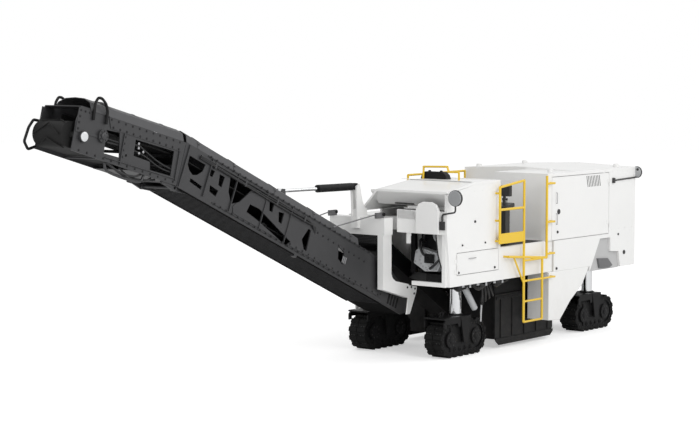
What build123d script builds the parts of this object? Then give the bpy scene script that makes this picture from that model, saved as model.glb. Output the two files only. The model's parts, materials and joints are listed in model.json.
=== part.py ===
"""Half-lane cold planer milling machine on four steered crawler tracks.

Machine coordinates, in millimetres: X = 0 at the front track axis, +X towards the conveyor head,
Y = 0 midway between the tracks, +Y to the machine's left (ladder side), Z = 0 on the ground.
At export everything shifts by the same offset, so the part's own origin lies on the ground
under the middle of its bounding box.
"""
import math
import os

from build123d import *

os.makedirs("parts", exist_ok=True)

# ---------------------------------------------------------------- general clearances and plates
seat_gap = 0.3          # flat or round faces of neighbouring pieces that rest on each other
pin_gap = 0.1           # radial play of a pin or column in its bore
swing_gap = 8.0         # play of a hinged leaf around its edges
skin = 40.0             # thickness of body walls and doors

# ---------------------------------------------------------------- crawler tracks and legs
wheelbase = 3660.0      # front to rear track axis
gauge = 1400.0          # between left and right track centres
shoe_width = 300.0
track_flat = 860.0      # between idler and sprocket centres
track_height = 550.0
shoe_count = 24         # shoes round one track
lug_height = 28.0
shoe_thickness = 24.0
column_radius = 75.0
column_foot_z = 640.0
column_top_z = 1440.0
barrel_wall = 40.0
barrel_foot_z = 1010.0
steer_socket_height = 110.0

# ---------------------------------------------------------------- body envelope
body_left = 1250.0
body_right = -900.0
body_front_x = 1000.0
front_body_rear_x = -350.0
front_skirt_rear_x = -1010.0
tower_front_x = -1620.0         # rear hood's front face beside the ladder
tower_right_y = 280.0
hood_front_x = -2500.0          # rear hood's front face on the right half
body_rear_x = -4220.0
front_skirt_z = 1120.0
rear_skirt_z = 1040.0
front_roof_z = 2590.0
front_roof_nose_z = 2480.0
roof_break_x = 300.0
rear_roof_z = 2620.0
rear_roof_crown = 40.0
right_deck_z = 2050.0
floor_z = 1600.0
deck_z = 1250.0                 # top of the main frame
frame_depth = 130.0

# ---------------------------------------------------------------- milling gear
drum_x = -1650.0
drum_z = 600.0
drum_width = 1300.0
drum_core_radius = 400.0
drum_tip_radius = 490.0
drum_shaft_radius = 90.0
drum_shaft_grip = 40.0          # length of the shaft in each bearing
drum_end_gap = 5.0
housing_front_x = -880.0
housing_rear_x = -2420.0
housing_left_y = 780.0
housing_right_y = -880.0
housing_low_z = 140.0
side_shoe_gap = 6.0
side_shoe_thickness = 36.0
side_shoe_low_z = 50.0
moldboard_thickness = 40.0

# ---------------------------------------------------------------- discharge conveyor
conveyor_y = -170.0
conveyor_half = 320.0           # outer face of the side plates
conveyor_side = 12.0            # side plate thickness
pivot_x = 680.0                 # elevation pivot
pivot_z = 970.0
lower_pitch = 24.0
upper_pitch = 14.7
lower_length = 5030.0           # elevation pivot to knee, along the axis
upper_length = 1905.0           # knee to head pulley centre, along the axis
lower_up = 295.0                # side plate above and below the axis
lower_down = 295.0
upper_up = 285.0
upper_down_knee = 288.0
upper_down_head = 250.0
tail_u = -318.0
cover_rise = 160.0
cover_skin = 8.0
belt_half = 250.0
belt_thickness = 12.0
head_pulley_radius = 150.0
head_pulley_drop = 55.0
belt_shaft_radius = 35.0
pivot_pin_radius = 35.0
pivot_boss_depth = 30.0
tail_pulley_radius = 110.0
lower_belt_w = -20.0            # middle of the lower belt over the axis

# ---------------------------------------------------------------- slew yoke and lift cylinder
slew_x = 1150.0
yoke_half_depth = 100.0
yoke_half_width = 500.0
yoke_arm = 100.0
yoke_low_z = 1830.0
yoke_top_z = 2080.0
yoke_foot_z = 1050.0
slew_pin_radius = 45.0
mast_eye_x = 1290.0
mast_eye_z = 2520.0
rod_eye_x = 2940.0
lift_pin_radius = 18.0
rod_eye_radius = 34.0
rod_eye_half = 28.0
lift_barrel_radius = 55.0
barrel_eye_half = 27.0
barrel_neck = 80.0              # from the mast's eye to the barrel
lift_barrel_length = 860.0
lift_rod_radius = 26.0

left, right = 1, -1


# ---------------------------------------------------------------- helpers
def block(x0, x1, y0, y1, z0, z1):
    """Box between two corners."""
    return Pos((x0 + x1) / 2, (y0 + y1) / 2, (z0 + z1) / 2) * Box(abs(x1 - x0), abs(y1 - y0), abs(z1 - z0))


def side_slab(points, y0, y1):
    """Plate with an X-Z outline, from y0 up to y1."""
    outline = Plane((0, y1, 0), x_dir=(1, 0, 0), z_dir=(0, -1, 0)) * Polygon(*points, align=None)
    return extrude(outline, amount=y1 - y0, dir=(0, -1, 0))


def front_slab(points, x0, x1):
    """Plate with a Y-Z outline, from x0 up to x1."""
    outline = Plane((x0, 0, 0), x_dir=(0, 1, 0), z_dir=(1, 0, 0)) * Polygon(*points, align=None)
    return extrude(outline, amount=x1 - x0, dir=(1, 0, 0))


def plan_slab(points, z0, z1):
    """Plate with an X-Y outline, from z0 up to z1."""
    return extrude(Pos(0, 0, z0) * Polygon(*points, align=None), amount=z1 - z0, dir=(0, 0, 1))


def bar(start, end, radius):
    """Round bar between two points."""
    axis = Vector(*end) - Vector(*start)
    return extrude(Plane(Vector(*start), z_dir=axis) * Circle(radius), amount=axis.length)


def cross_bar(x, z, y0, y1, radius):
    """Round bar along Y."""
    return bar((x, y0, z), (x, y1, z), radius)


def post(x, y, z0, z1, radius):
    """Round bar along Z."""
    return bar((x, y, z0), (x, y, z1), radius)


def pipe_run(points, radius, bend):
    """Bent round pipe through the points with round corners."""
    path = FilletPolyline(*points, radius=bend)
    return sweep(Plane(path @ 0, z_dir=path % 0) * Circle(radius), path)


def joined(*shapes):
    """One compound or solid from several shapes that touch or lie apart."""
    first, *others = shapes
    return first + others if others else first


hinge_out = 12.0        # hinge axis in front of the wall's face
knuckle_radius = 10.0
hinge_pin_radius = 5.0
knuckle_length = 60.0
strap_reach = 60.0
strap_height = 6.0


def hinge_axis(edge, toward_frame, outward):
    """Plan point of a door's hinge axis, between the leaf's edge and the doorway's."""
    return tuple(edge[i] + toward_frame[i] * swing_gap / 2 + outward[i] * hinge_out for i in (0, 1))


def hinge_halves(edge, toward_frame, outward, foot_levels):
    """Knuckles for the leaf, and lugs with upright pins for the wall."""
    ax, ay = hinge_axis(edge, toward_frame, outward)

    def strap(direction, z0, z1):
        low = (ax - outward[0] * (hinge_out + 1), ay - outward[1] * (hinge_out + 1))
        high = (ax + direction * toward_frame[0] * strap_reach - outward[0] * (hinge_out - strap_height),
                ay + direction * toward_frame[1] * strap_reach - outward[1] * (hinge_out - strap_height))
        return block(low[0], high[0], low[1], high[1], z0, z1)

    leaf, frame = [], []
    for z in foot_levels:
        top = z + knuckle_length
        leaf.append(post(ax, ay, z, top, knuckle_radius) + strap(-1, z, top)
                    - post(ax, ay, z - 1, top + 1, hinge_pin_radius + pin_gap))
        low, high = z - seat_gap - knuckle_length, z - seat_gap
        frame.append(post(ax, ay, low, high, knuckle_radius) + strap(1, low, high)
                     + post(ax, ay, low, top, hinge_pin_radius))
    return leaf, frame


nodes = {}


# ---------------------------------------------------------------- crawler tracks
track_end_radius = track_height / 2
track_axis_z = track_height / 2
belt_inner_radius = track_end_radius - lug_height - shoe_thickness
legs = {
    "front_left": (0.0, gauge / 2),
    "front_right": (0.0, -gauge / 2),
    "rear_left": (-wheelbase, gauge / 2),
    "rear_right": (-wheelbase, -gauge / 2),
}


def loop_point(distance, offset_radius):
    """Point of the track loop, a given way round its middle line and at a given end radius."""
    middle = track_end_radius
    turn = math.pi * middle
    distance = distance % (2 * track_flat + 2 * turn)
    half = track_flat / 2
    if distance < track_flat:
        return (-half + distance, -offset_radius)
    distance -= track_flat
    if distance < turn:
        angle = distance / middle - math.pi / 2
        return (half + offset_radius * math.cos(angle), offset_radius * math.sin(angle))
    distance -= turn
    if distance < track_flat:
        return (half - distance, offset_radius)
    angle = (distance - track_flat) / middle + math.pi / 2
    return (-half + offset_radius * math.cos(angle), offset_radius * math.sin(angle))


def track_belt():
    """Closed loop of shoes, each with one lug."""
    pitch = (2 * track_flat + 2 * math.pi * track_end_radius) / shoe_count
    plate_radius = track_end_radius - lug_height
    outline = []
    # columns: share of the pitch, end radius of the outline there
    shoe_profile = ((0.02, plate_radius), (0.30, plate_radius), (0.38, track_end_radius),
                    (0.62, track_end_radius), (0.70, plate_radius), (0.98, plate_radius))
    for shoe in range(shoe_count):
        for share, radius in shoe_profile:
            outline.append(loop_point((shoe + share) * pitch, radius))
    hollow = SlotCenterToCenter(track_flat, 2 * belt_inner_radius)
    loop = Polygon(*outline, align=None) - hollow
    section = Plane((0, shoe_width / 2, track_axis_z), x_dir=(1, 0, 0), z_dir=(0, -1, 0)) * loop
    return extrude(section, amount=shoe_width, dir=(0, -1, 0))


cheek_gap = 14.0
cheek_thickness = 26.0
cheek_top_half = 130.0
cheek_low_half = 60.0
bridge_z = column_foot_z - 40.0
bridge_thickness = 40.0


def track_carrier():
    """Roller frame inside the loop, two cheeks, the bridge over it and the steering socket."""
    wheel_radius = belt_inner_radius - seat_gap
    half = track_flat / 2
    inside = shoe_width / 2 - 30
    rollers = [cross_bar(x, track_axis_z, -inside, inside, wheel_radius) for x in (-half, half)]
    beam = block(-half, half, -inside + 25, inside - 25, track_axis_z - 120, track_axis_z + 120)
    axle_reach = shoe_width / 2 + cheek_gap + cheek_thickness
    axle = cross_bar(0, track_axis_z, -axle_reach, axle_reach, 55)
    cheek_outline = [(-cheek_top_half, bridge_z + bridge_thickness), (cheek_top_half, bridge_z + bridge_thickness),
                     (cheek_low_half, track_axis_z - 90), (-cheek_low_half, track_axis_z - 90)]
    inner = shoe_width / 2 + cheek_gap
    cheeks = [side_slab(cheek_outline, inner, axle_reach), side_slab(cheek_outline, -axle_reach, -inner)]
    bridge = block(-cheek_top_half, cheek_top_half, -axle_reach, axle_reach, bridge_z, bridge_z + bridge_thickness)
    socket = post(0, 0, bridge_z, column_foot_z + steer_socket_height, column_radius + 32)
    bore = post(0, 0, column_foot_z - seat_gap, column_foot_z + steer_socket_height + 1, column_radius + pin_gap)
    return joined(beam, *rollers, axle, *cheeks, bridge, socket) - bore


for corner, (leg_x, leg_y) in legs.items():
    nodes[f"track_{corner}"] = Pos(leg_x, leg_y, 0) * track_belt()
    nodes[f"track_frame_{corner}"] = Pos(leg_x, leg_y, 0) * track_carrier()

columns = [post(x, y, column_foot_z, column_top_z, column_radius) for x, y in legs.values()]
nodes["leg_columns"] = joined(*columns)


# ---------------------------------------------------------------- main frame
frame_low_z = deck_z - frame_depth
wall_left = body_left - skin - seat_gap         # what stands against the inside of the body walls
wall_right = body_right + skin + seat_gap
frame_rear_x = body_rear_x + skin + seat_gap
frame_front_x = 230.0
frame_nose_x = 600.0
pickup_half = 185.0
tunnel_rear_x = -300.0
arch_front_x = -2840.0
arch_rear_x = -3780.0
arch_depth_y = 900.0
barrel_radius = column_radius + barrel_wall
tow_eye_radius = 25.0
tow_eye_thickness = 40.0
tow_eye_reach = 110.0
tow_eye_half_height = 55.0
tow_eye_edge = 50.0
tow_eye_z = 1180.0
tow_eye_y = 450.0
tow_eye_tip_x = body_rear_x - tow_eye_reach


def main_frame():
    """Deck slab with the four leg barrels and the towing eyes."""
    tunnel_left, tunnel_right = conveyor_y + pickup_half + seat_gap, conveyor_y - pickup_half - seat_gap
    outline = [(frame_front_x, wall_right), (frame_front_x, tunnel_right), (tunnel_rear_x, tunnel_right),
               (tunnel_rear_x, tunnel_left), (frame_front_x, tunnel_left), (frame_nose_x, 600),
               (frame_nose_x, wall_left), (arch_front_x, wall_left), (arch_front_x, arch_depth_y),
               (arch_rear_x, arch_depth_y), (arch_rear_x, wall_left), (frame_rear_x, wall_left),
               (frame_rear_x, wall_right)]
    deck = plan_slab(outline, frame_low_z, deck_z)
    barrels = [post(x, y, barrel_foot_z, column_top_z - 60, barrel_radius) for x, y in legs.values()]
    bores = [post(x, y, 0, column_top_z + 1, column_radius + pin_gap) for x, y in legs.values()]
    eyes = []
    for side in (left, right):
        y = (body_left + body_right) / 2 + side * tow_eye_y
        half = tow_eye_thickness / 2
        lug = block(tow_eye_tip_x, frame_rear_x + 1, y - half, y + half,
                    tow_eye_z - tow_eye_half_height, tow_eye_z + tow_eye_half_height)
        eyes.append(lug - cross_bar(tow_eye_tip_x + tow_eye_edge, tow_eye_z, y - half - 1, y + half + 1,
                                    tow_eye_radius))
    return joined(deck, *barrels, *eyes) - bores


nodes["main_frame"] = main_frame()

# ---------------------------------------------------------------- drum housing and what moves in it
hood_plate = 24.0
tail_mouth_half = 330.0
tail_mouth_top = 900.0


def drum_housing():
    """Box open below and behind, with a mouth in front for the pick-up conveyor."""
    outer = block(housing_rear_x, housing_front_x, housing_right_y, housing_left_y, housing_low_z,
                  frame_low_z - seat_gap)
    inner = block(housing_rear_x - 1, housing_front_x - hood_plate, housing_right_y + hood_plate,
                  housing_left_y - hood_plate, housing_low_z - 1, frame_low_z - seat_gap - hood_plate)
    mouth = block(housing_front_x - hood_plate - 1, housing_front_x + 1, conveyor_y - tail_mouth_half,
                  conveyor_y + tail_mouth_half, housing_low_z - 1, tail_mouth_top)
    bearing_y = conveyor_y - drum_width / 2 - drum_end_gap
    left_bearing_y = conveyor_y + drum_width / 2 + drum_end_gap
    bearing = cross_bar(drum_x, drum_z, housing_right_y + 1, bearing_y, 150)
    drive = cross_bar(drum_x, drum_z, left_bearing_y, housing_left_y - 1, 260)
    shaft_bore = cross_bar(drum_x, drum_z, bearing_y - drum_shaft_grip, left_bearing_y + drum_shaft_grip,
                           drum_shaft_radius + pin_gap)
    runners = []
    for x in (housing_front_x - 60, housing_rear_x + 60):
        for wall, side in ((housing_left_y, left), (housing_right_y, right)):
            face = wall + side * (side_shoe_gap - seat_gap)
            runners.append(block(x - 40, x + 40, wall - side, face, side_shoe_low_z + 200, frame_low_z - 120))
    return joined(outer - inner - mouth, bearing, drive, *runners) - shaft_bore


nodes["drum_housing"] = drum_housing()



def milling_drum():
    """Drum shell with helical rows of cutter holders and picks."""
    half = drum_width / 2
    core = cross_bar(drum_x, drum_z, conveyor_y - half, conveyor_y + half, drum_core_radius)
    picks = []
    starts, rows = 3, 11
    for start in range(starts):
        for row in range(rows):
            angle = 360.0 * start / starts + 300.0 * row / rows
            y = conveyor_y - half + 60 + (drum_width - 120) * row / (rows - 1)
            holder = Pos(drum_tip_radius - 62, 0, 0) * Box(124, 46, 70)
            picks.append(Pos(drum_x, y, drum_z) * Rot(0, angle, 0) * holder)
    shaft_half = half + drum_end_gap + drum_shaft_grip - seat_gap
    shaft = cross_bar(drum_x, drum_z, conveyor_y - shaft_half, conveyor_y + shaft_half, drum_shaft_radius)
    return joined(core, shaft, *picks)


nodes["milling_drum"] = milling_drum()

side_shoe_top_z = 820.0


def side_shoe(side):
    """Plate that slides up and down beside the housing and runs on the ground as a skid."""
    inner = housing_left_y + side_shoe_gap if side == left else housing_right_y - side_shoe_gap
    outer = inner + side * side_shoe_thickness
    front, rear = housing_front_x + 30, housing_rear_x - 30
    outline = [(front - 130, side_shoe_low_z), (front, side_shoe_low_z + 120), (front, side_shoe_top_z),
               (rear, side_shoe_top_z), (rear, side_shoe_low_z + 120), (rear + 130, side_shoe_low_z)]
    return side_slab(outline, min(inner, outer), max(inner, outer))


nodes["side_plate_left"] = side_shoe(left)
nodes["side_plate_right"] = side_shoe(right)
moldboard_low_z = 70.0
moldboard_top_z = 790.0
nodes["moldboard"] = block(housing_rear_x + 30, housing_rear_x + 30 + moldboard_thickness,
                           housing_right_y + hood_plate + seat_gap, housing_left_y - hood_plate - seat_gap,
                           moldboard_low_z, moldboard_top_z)

# ---------------------------------------------------------------- pick-up conveyor inside the machine
pickup_tail = (housing_front_x - 60, 505.0)
pickup_head = (860.0, 1650.0)
pickup_depth = 230.0


def pickup_conveyor():
    """Closed trough from the drum chamber up to the front opening."""
    (x0, z0), (x1, z1) = pickup_tail, pickup_head
    half_depth = pickup_depth / 2
    run = math.hypot(x1 - x0, z1 - z0)
    pitch = math.degrees(math.atan2(z1 - z0, x1 - x0))
    trough = Pos(run / 2, 0, 0) * Box(run, 2 * pickup_half, pickup_depth)
    ends = [Pos(0, 0, 0) * Rot(90, 0, 0) * Cylinder(half_depth, 2 * pickup_half),
            Pos(run, 0, 0) * Rot(90, 0, 0) * Cylinder(half_depth, 2 * pickup_half)]
    channel = Pos(run / 2, 0, half_depth) * Box(run + 2 * pickup_depth, 2 * pickup_half - 40, pickup_depth - 60)
    return Pos(x0, conveyor_y, z0) * Rot(0, -pitch, 0) * (joined(trough, *ends) - channel)


nodes["pickup_conveyor"] = pickup_conveyor()

# ---------------------------------------------------------------- front body and its lid
lid_thickness = 40.0
shoulder_top_y = 100.0
shoulder_low_y = -270.0
shoulder_low_z = 2190.0
beam_low_z = 1870.0
beam_top_z = 2200.0
beam_depth = 180.0
beam_inner_y = 370.0
access_door_front_x = 750.0
access_door_rear_x = -300.0
access_door_low_z = 1280.0
access_door_top_z = 1590.0
access_hinge_z = (access_door_low_z + 80, access_door_top_z - 80)
roof_profile = [(body_front_x, front_roof_nose_z), (roof_break_x, front_roof_z),
                (front_body_rear_x, front_roof_z)]


def lowered(points, drop):
    """The same outline points, moved down."""
    return [(x, z - drop) for x, z in points]


def front_body():
    """Side wall, rear wall and the low right wall under the lid."""
    top = lowered(roof_profile, lid_thickness + seat_gap)
    wall = [(920, front_skirt_z), (950, 1490), (body_front_x, 1900), *top, (front_body_rear_x, floor_z + seat_gap),
            (front_skirt_rear_x, floor_z + seat_gap), (front_skirt_rear_x, front_skirt_z)]
    side = side_slab(wall, body_left - skin, body_left)
    doorway = block(access_door_rear_x - swing_gap, access_door_front_x + swing_gap, body_left - skin - 1,
                    body_left + 1, access_door_low_z - swing_gap, access_door_top_z + swing_gap)
    under_lid = front_roof_z - lid_thickness - seat_gap
    slope = [(shoulder_low_y, floor_z + seat_gap), (body_left - skin, floor_z + seat_gap), (body_left - skin, under_lid),
             (shoulder_top_y, under_lid), (shoulder_low_y, shoulder_low_z - lid_thickness)]
    rear = front_slab(slope, front_body_rear_x, front_body_rear_x + skin)
    low_wall = block(front_body_rear_x, 560, shoulder_low_y, shoulder_low_y + skin, right_deck_z + seat_gap,
                     shoulder_low_z - lid_thickness - seat_gap)
    frame_lugs = hinge_halves((access_door_front_x, body_left), (1, 0), (0, 1), access_hinge_z)[1]
    return joined(side - doorway, rear, low_wall, *frame_lugs)


def shoulder_cut(drop):
    """Wedge that slopes the lid's right edge, lowered for its underside."""
    corner_z = front_roof_z - drop
    low = shoulder_low_z - drop
    reach = 400
    points = [(shoulder_top_y, corner_z), (shoulder_low_y, low), (shoulder_low_y, low + reach * 2),
              (shoulder_top_y, corner_z + reach)]
    return front_slab(points, front_body_rear_x - 1, body_front_x + 1)


lid_hinge_x = front_body_rear_x - hinge_out
lid_hinge_z = front_roof_z - 20.0
lid_hinge_y = (250.0, 1000.0)


def lid_hinge_halves():
    """Knuckles for the lid's rear edge, and lugs with cross pins for the rear wall below it."""
    leaf, frame = [], []
    for y in lid_hinge_y:
        far = y + knuckle_length
        leaf.append(cross_bar(lid_hinge_x, lid_hinge_z, y, far, knuckle_radius)
                    + block(lid_hinge_x, front_body_rear_x + 1, y, far, lid_hinge_z - 8, lid_hinge_z + 10)
                    - cross_bar(lid_hinge_x, lid_hinge_z, y - 1, far + 1, hinge_pin_radius + pin_gap))
        low, high = y - seat_gap - knuckle_length, y - seat_gap
        wall_top = front_roof_z - lid_thickness - seat_gap
        frame.append(cross_bar(lid_hinge_x, lid_hinge_z, low, high, knuckle_radius)
                     + block(lid_hinge_x - knuckle_radius, front_body_rear_x - seat_gap, low, high, wall_top - 30,
                             lid_hinge_z - 4)
                     + block(front_body_rear_x - 1, front_body_rear_x + 1, low, high, wall_top - 30, wall_top)
                     + cross_bar(lid_hinge_x, lid_hinge_z, low, far, hinge_pin_radius))
    return leaf, frame


def engine_lid():
    """Roof of the front body with its sloping nose and right shoulder, one hinged piece."""
    low_z = shoulder_low_z - lid_thickness
    outer = side_slab([*roof_profile, (front_body_rear_x, low_z), (body_front_x, low_z)], shoulder_low_y, body_left)
    inner = side_slab([*[(x + 60 * (x == body_front_x) - 60 * (x < 0), z - lid_thickness) for x, z in roof_profile],
                       (front_body_rear_x - 60, low_z - 1), (body_front_x + 60, low_z - 1)],
                      shoulder_low_y - 1, body_left + 1)
    return joined(outer - shoulder_cut(0) - (inner - shoulder_cut(lid_thickness)), *lid_hinge_halves()[0])


nodes["front_body"] = joined(front_body(), *lid_hinge_halves()[1])
nodes["engine_lid"] = engine_lid()
nodes["access_door"] = joined(
    block(access_door_rear_x, access_door_front_x, body_left - skin, body_left, access_door_low_z, access_door_top_z),
    *hinge_halves((access_door_front_x, body_left), (1, 0), (0, 1), access_hinge_z)[0])

tongue_half = 60.0
tongue_low_z = 1885.0
tongue_top_z = 2025.0
cross_rear_x = 380.0
cross_front_x = 560.0


def front_beam():
    """Fixed beams of the open front, with the tongue that carries the slew pin."""
    upper = block(body_front_x - beam_depth, body_front_x, beam_inner_y, wall_left, beam_low_z, beam_top_z)
    inner = block(cross_front_x - 200, body_front_x - beam_depth + 1, beam_inner_y, beam_inner_y + 60,
                  beam_low_z, right_deck_z)
    across = block(cross_rear_x, cross_front_x, wall_right, beam_inner_y + 1, tongue_low_z - 30, right_deck_z)
    tongue = block(cross_front_x - 1, slew_x, conveyor_y - tongue_half, conveyor_y + tongue_half,
                   tongue_low_z, tongue_top_z)
    nose = post(slew_x, conveyor_y, tongue_low_z, tongue_top_z, tongue_half)
    pin = post(slew_x, conveyor_y, yoke_low_z, yoke_top_z - 20, slew_pin_radius)
    lower = block(body_front_x - 80, body_front_x - 20, 620, wall_left, front_skirt_z, front_skirt_z + 60)
    strut = block(frame_nose_x - 60, frame_nose_x, 330, 400, deck_z + seat_gap, beam_low_z + 1)
    left_strut = block(body_front_x - 100, body_front_x - 20, wall_left - 60, wall_left, front_skirt_z, beam_low_z + 1)
    return joined(upper, inner, across, tongue, nose, pin, lower, strut, left_strut)


nodes["front_beam"] = front_beam()
nodes["right_cover"] = (block(front_body_rear_x, cross_rear_x - seat_gap, body_right, conveyor_y - pickup_half - 30,
                              deck_z + seat_gap, right_deck_z)
                        - block(front_body_rear_x + skin, cross_rear_x - skin, body_right + skin,
                                conveyor_y - pickup_half - 30 - skin, deck_z, right_deck_z - skin)
                        + block(front_body_rear_x + skin + seat_gap, cross_rear_x - seat_gap,
                                conveyor_y - pickup_half - 31, shoulder_low_y + skin, right_deck_z - skin,
                                right_deck_z))

# ---------------------------------------------------------------- engine
engine_left_y = 1080.0
engine_right_y = 440.0


def engine():
    """Plain engine block with the flywheel case and pump at its front."""
    upper = block(-280, 500, engine_right_y, engine_left_y, column_top_z + 20, 2080)
    lower = block(barrel_radius + 25, 500, engine_right_y, engine_left_y, deck_z + seat_gap, column_top_z + 21)
    case = bar((499, 760, 1500), (620, 760, 1500), 210)
    pump = block(619, 760, 640, 860, 1400, 1600)
    return joined(upper, lower, case, pump)


nodes["engine"] = engine()

# ---------------------------------------------------------------- platform and rear body
def platform():
    """Operator's floor over a skirt, open below."""
    def plan(inset, z0, z1):
        return plan_slab([(front_body_rear_x - seat_gap - inset, body_right + inset),
                          (front_body_rear_x - seat_gap - inset, wall_left - inset),
                          (tower_front_x + seat_gap + inset, wall_left - inset),
                          (tower_front_x + seat_gap + inset, tower_right_y + seat_gap - inset),
                          (hood_front_x + seat_gap + inset, tower_right_y + seat_gap - inset),
                          (hood_front_x + seat_gap + inset, body_right + inset)], z0, z1)
    return plan(0, deck_z + seat_gap, floor_z) - plan(skin, deck_z, floor_z - skin)


nodes["platform"] = platform()

door_front_x = -1740.0
door_rear_x = -3400.0
door_low_z = 1600.0
door_top_z = 2560.0
rear_door_half = 800.0
rear_door_low_z = 1300.0
rear_door_top_z = 2500.0
body_mid_y = (body_left + body_right) / 2
left_hinge_z = (door_low_z + 150, door_top_z - 150)
rear_hinge_z = (rear_door_low_z + 150, rear_door_top_z - 150)
rear_hinge_edge = (body_rear_x, body_mid_y - rear_door_half)


def rear_body():
    """Shell of the rear hood: stepped front, crowned roof, wheel arch, open below."""
    def plan(inset, z0, z1):
        return plan_slab([(tower_front_x - inset, body_left - inset), (tower_front_x - inset, tower_right_y + inset),
                          (hood_front_x - inset, tower_right_y + inset), (hood_front_x - inset, body_right + inset),
                          (body_rear_x + inset, body_right + inset), (body_rear_x + inset, body_left - inset)], z0, z1)
    shell = plan(0, rear_skirt_z, rear_roof_z) - plan(skin, rear_skirt_z - 1, rear_roof_z - skin)
    crown = front_slab([(body_right, rear_roof_z - 1), (body_mid_y, rear_roof_z + rear_roof_crown),
                        (body_left, rear_roof_z - 1)], body_rear_x, hood_front_x)
    arch = side_slab([(arch_front_x - 10, rear_skirt_z - 1), (-3060, 1380), (-3150, 1530), (-3460, 1530),
                      (-3470, 1310), (-3720, 1290), (arch_rear_x + 10, rear_skirt_z - 1)],
                     body_left - skin - 1, body_left + 1)
    toe = block(tower_front_x - 190, tower_front_x + 1, body_left - 390, body_left + 1, rear_skirt_z - 1, floor_z)
    toe_low = block(arch_front_x, tower_front_x + 1, body_left - skin - 1, body_left + 1, rear_skirt_z - 1,
                    front_skirt_z)
    front_low = block(hood_front_x - skin - 1, tower_front_x + 1, body_right - 1, body_left - skin,
                      rear_skirt_z - 1, floor_z + seat_gap)
    doorway = block(door_rear_x - swing_gap, door_front_x + swing_gap, body_left - skin - 1, body_left + 1,
                    door_low_z - swing_gap, door_top_z + swing_gap)
    rear_way = block(body_rear_x - 1, body_rear_x + skin + 1, body_mid_y - rear_door_half - swing_gap,
                     body_mid_y + rear_door_half + swing_gap, rear_door_low_z - swing_gap,
                     rear_door_top_z + swing_gap)
    eye_slots = [block(body_rear_x - 1, body_rear_x + skin + 1, body_mid_y + side * tow_eye_y - 30,
                       body_mid_y + side * tow_eye_y + 30, rear_skirt_z - 1,
                       tow_eye_z + tow_eye_half_height + 10) for side in (left, right)]
    left_lugs = hinge_halves((door_rear_x, body_left), (-1, 0), (0, 1), left_hinge_z)[1]
    rear_lugs = hinge_halves(rear_hinge_edge, (0, -1), (-1, 0), rear_hinge_z)[1]
    hood = shell + crown - arch - toe - toe_low - front_low - doorway - rear_way - eye_slots
    return joined(hood, *left_lugs, *rear_lugs)


nodes["rear_body"] = rear_body()
nodes["rear_left_door"] = joined(
    block(door_rear_x, door_front_x, body_left - skin, body_left, door_low_z, door_top_z),
    *hinge_halves((door_rear_x, body_left), (-1, 0), (0, 1), left_hinge_z)[0])
nodes["rear_door"] = joined(
    block(body_rear_x, body_rear_x + skin, body_mid_y - rear_door_half, body_mid_y + rear_door_half,
          rear_door_low_z, rear_door_top_z),
    *hinge_halves(rear_hinge_edge, (0, -1), (-1, 0), rear_hinge_z)[0])
nodes["rear_tank"] = side_slab([(-1670, 385), (-1990, 360), (-2300, 640), (-2620, 840),
                                (arch_front_x + 10, front_skirt_z - seat_gap), (-1670, front_skirt_z - seat_gap)],
                               body_left - 390, body_left)
nodes["step_box"] = block(tower_front_x - 180, front_skirt_rear_x - seat_gap, wall_left + seat_gap, body_left - 30,
                          front_skirt_z, floor_z - swing_gap)

# ---------------------------------------------------------------- ladder and rails
rail_radius = 19.0
rail_y = 1325.0
ladder_front_x = -860.0
ladder_rear_x = -1360.0
upper_rail_rear_x = -1480.0
ladder_low_z = 452.0
rung_pitch = 305.0
rung_count = 4
ladder_top_z = 2560.0
access_front_x = -220.0
mid_rail_z = 2160.0
toe_low_z = 1660.0
toe_top_z = 1810.0


def ladder():
    """Boarding ladder, landing bracket, toe board and hand rails of the left side, one welded piece."""
    landing_z = ladder_low_z + rung_pitch * (rung_count - 1)
    rungs = [bar((ladder_rear_x, rail_y, ladder_low_z + rung_pitch * k),
                 (ladder_front_x, rail_y, ladder_low_z + rung_pitch * k), 16) for k in range(rung_count)]
    front_rail = post(ladder_front_x, rail_y, ladder_low_z, ladder_top_z, rail_radius)
    rear_rail = post(ladder_rear_x, rail_y, ladder_low_z, landing_z, rail_radius)
    upper_rail = post(upper_rail_rear_x, rail_y, landing_z, ladder_top_z + 40, rail_radius)
    landing = bar((upper_rail_rear_x, rail_y, landing_z), (-440, rail_y, landing_z + 90), rail_radius)
    brace = bar((-600, rail_y, landing_z + 60), (ladder_front_x, rail_y, landing_z - 340), 14)
    top = bar((access_front_x, rail_y, ladder_top_z - 70), (ladder_front_x, rail_y, ladder_top_z), rail_radius)
    middle = bar((access_front_x, rail_y, mid_rail_z), (ladder_front_x, rail_y, mid_rail_z), rail_radius)
    stub_x = access_front_x
    upright = post(stub_x, rail_y, toe_low_z, ladder_top_z - 70, rail_radius)
    toe = block(access_front_x, ladder_front_x, rail_y - 8, rail_y + 8, toe_low_z, toe_top_z)
    feet = []
    for x, z in ((stub_x, 2400), (stub_x, 2000), (stub_x, 1700), (-440, landing_z + 90)):
        feet.append(bar((x, body_left + seat_gap, z), (x, rail_y, z), 16))
    for z in (1420, 1900, 2480):
        feet.append(bar((upper_rail_rear_x, rail_y, z), (tower_front_x - 60, rail_y, z), 16))
        feet.append(bar((tower_front_x - 60, body_left + seat_gap, z), (tower_front_x - 60, rail_y + 16, z), 16))
    step_foot_z = 1060
    feet.append(bar((ladder_rear_x, rail_y, step_foot_z), (-1700, rail_y, step_foot_z), 14))
    feet.append(bar((-1700, body_left + seat_gap, step_foot_z), (-1700, rail_y + 14, step_foot_z), 14))
    return joined(front_rail, rear_rail, upper_rail, landing, brace, top, middle, upright, toe, *rungs, *feet)


nodes["ladder"] = ladder()

right_rail_y = body_right + 60.0


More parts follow.
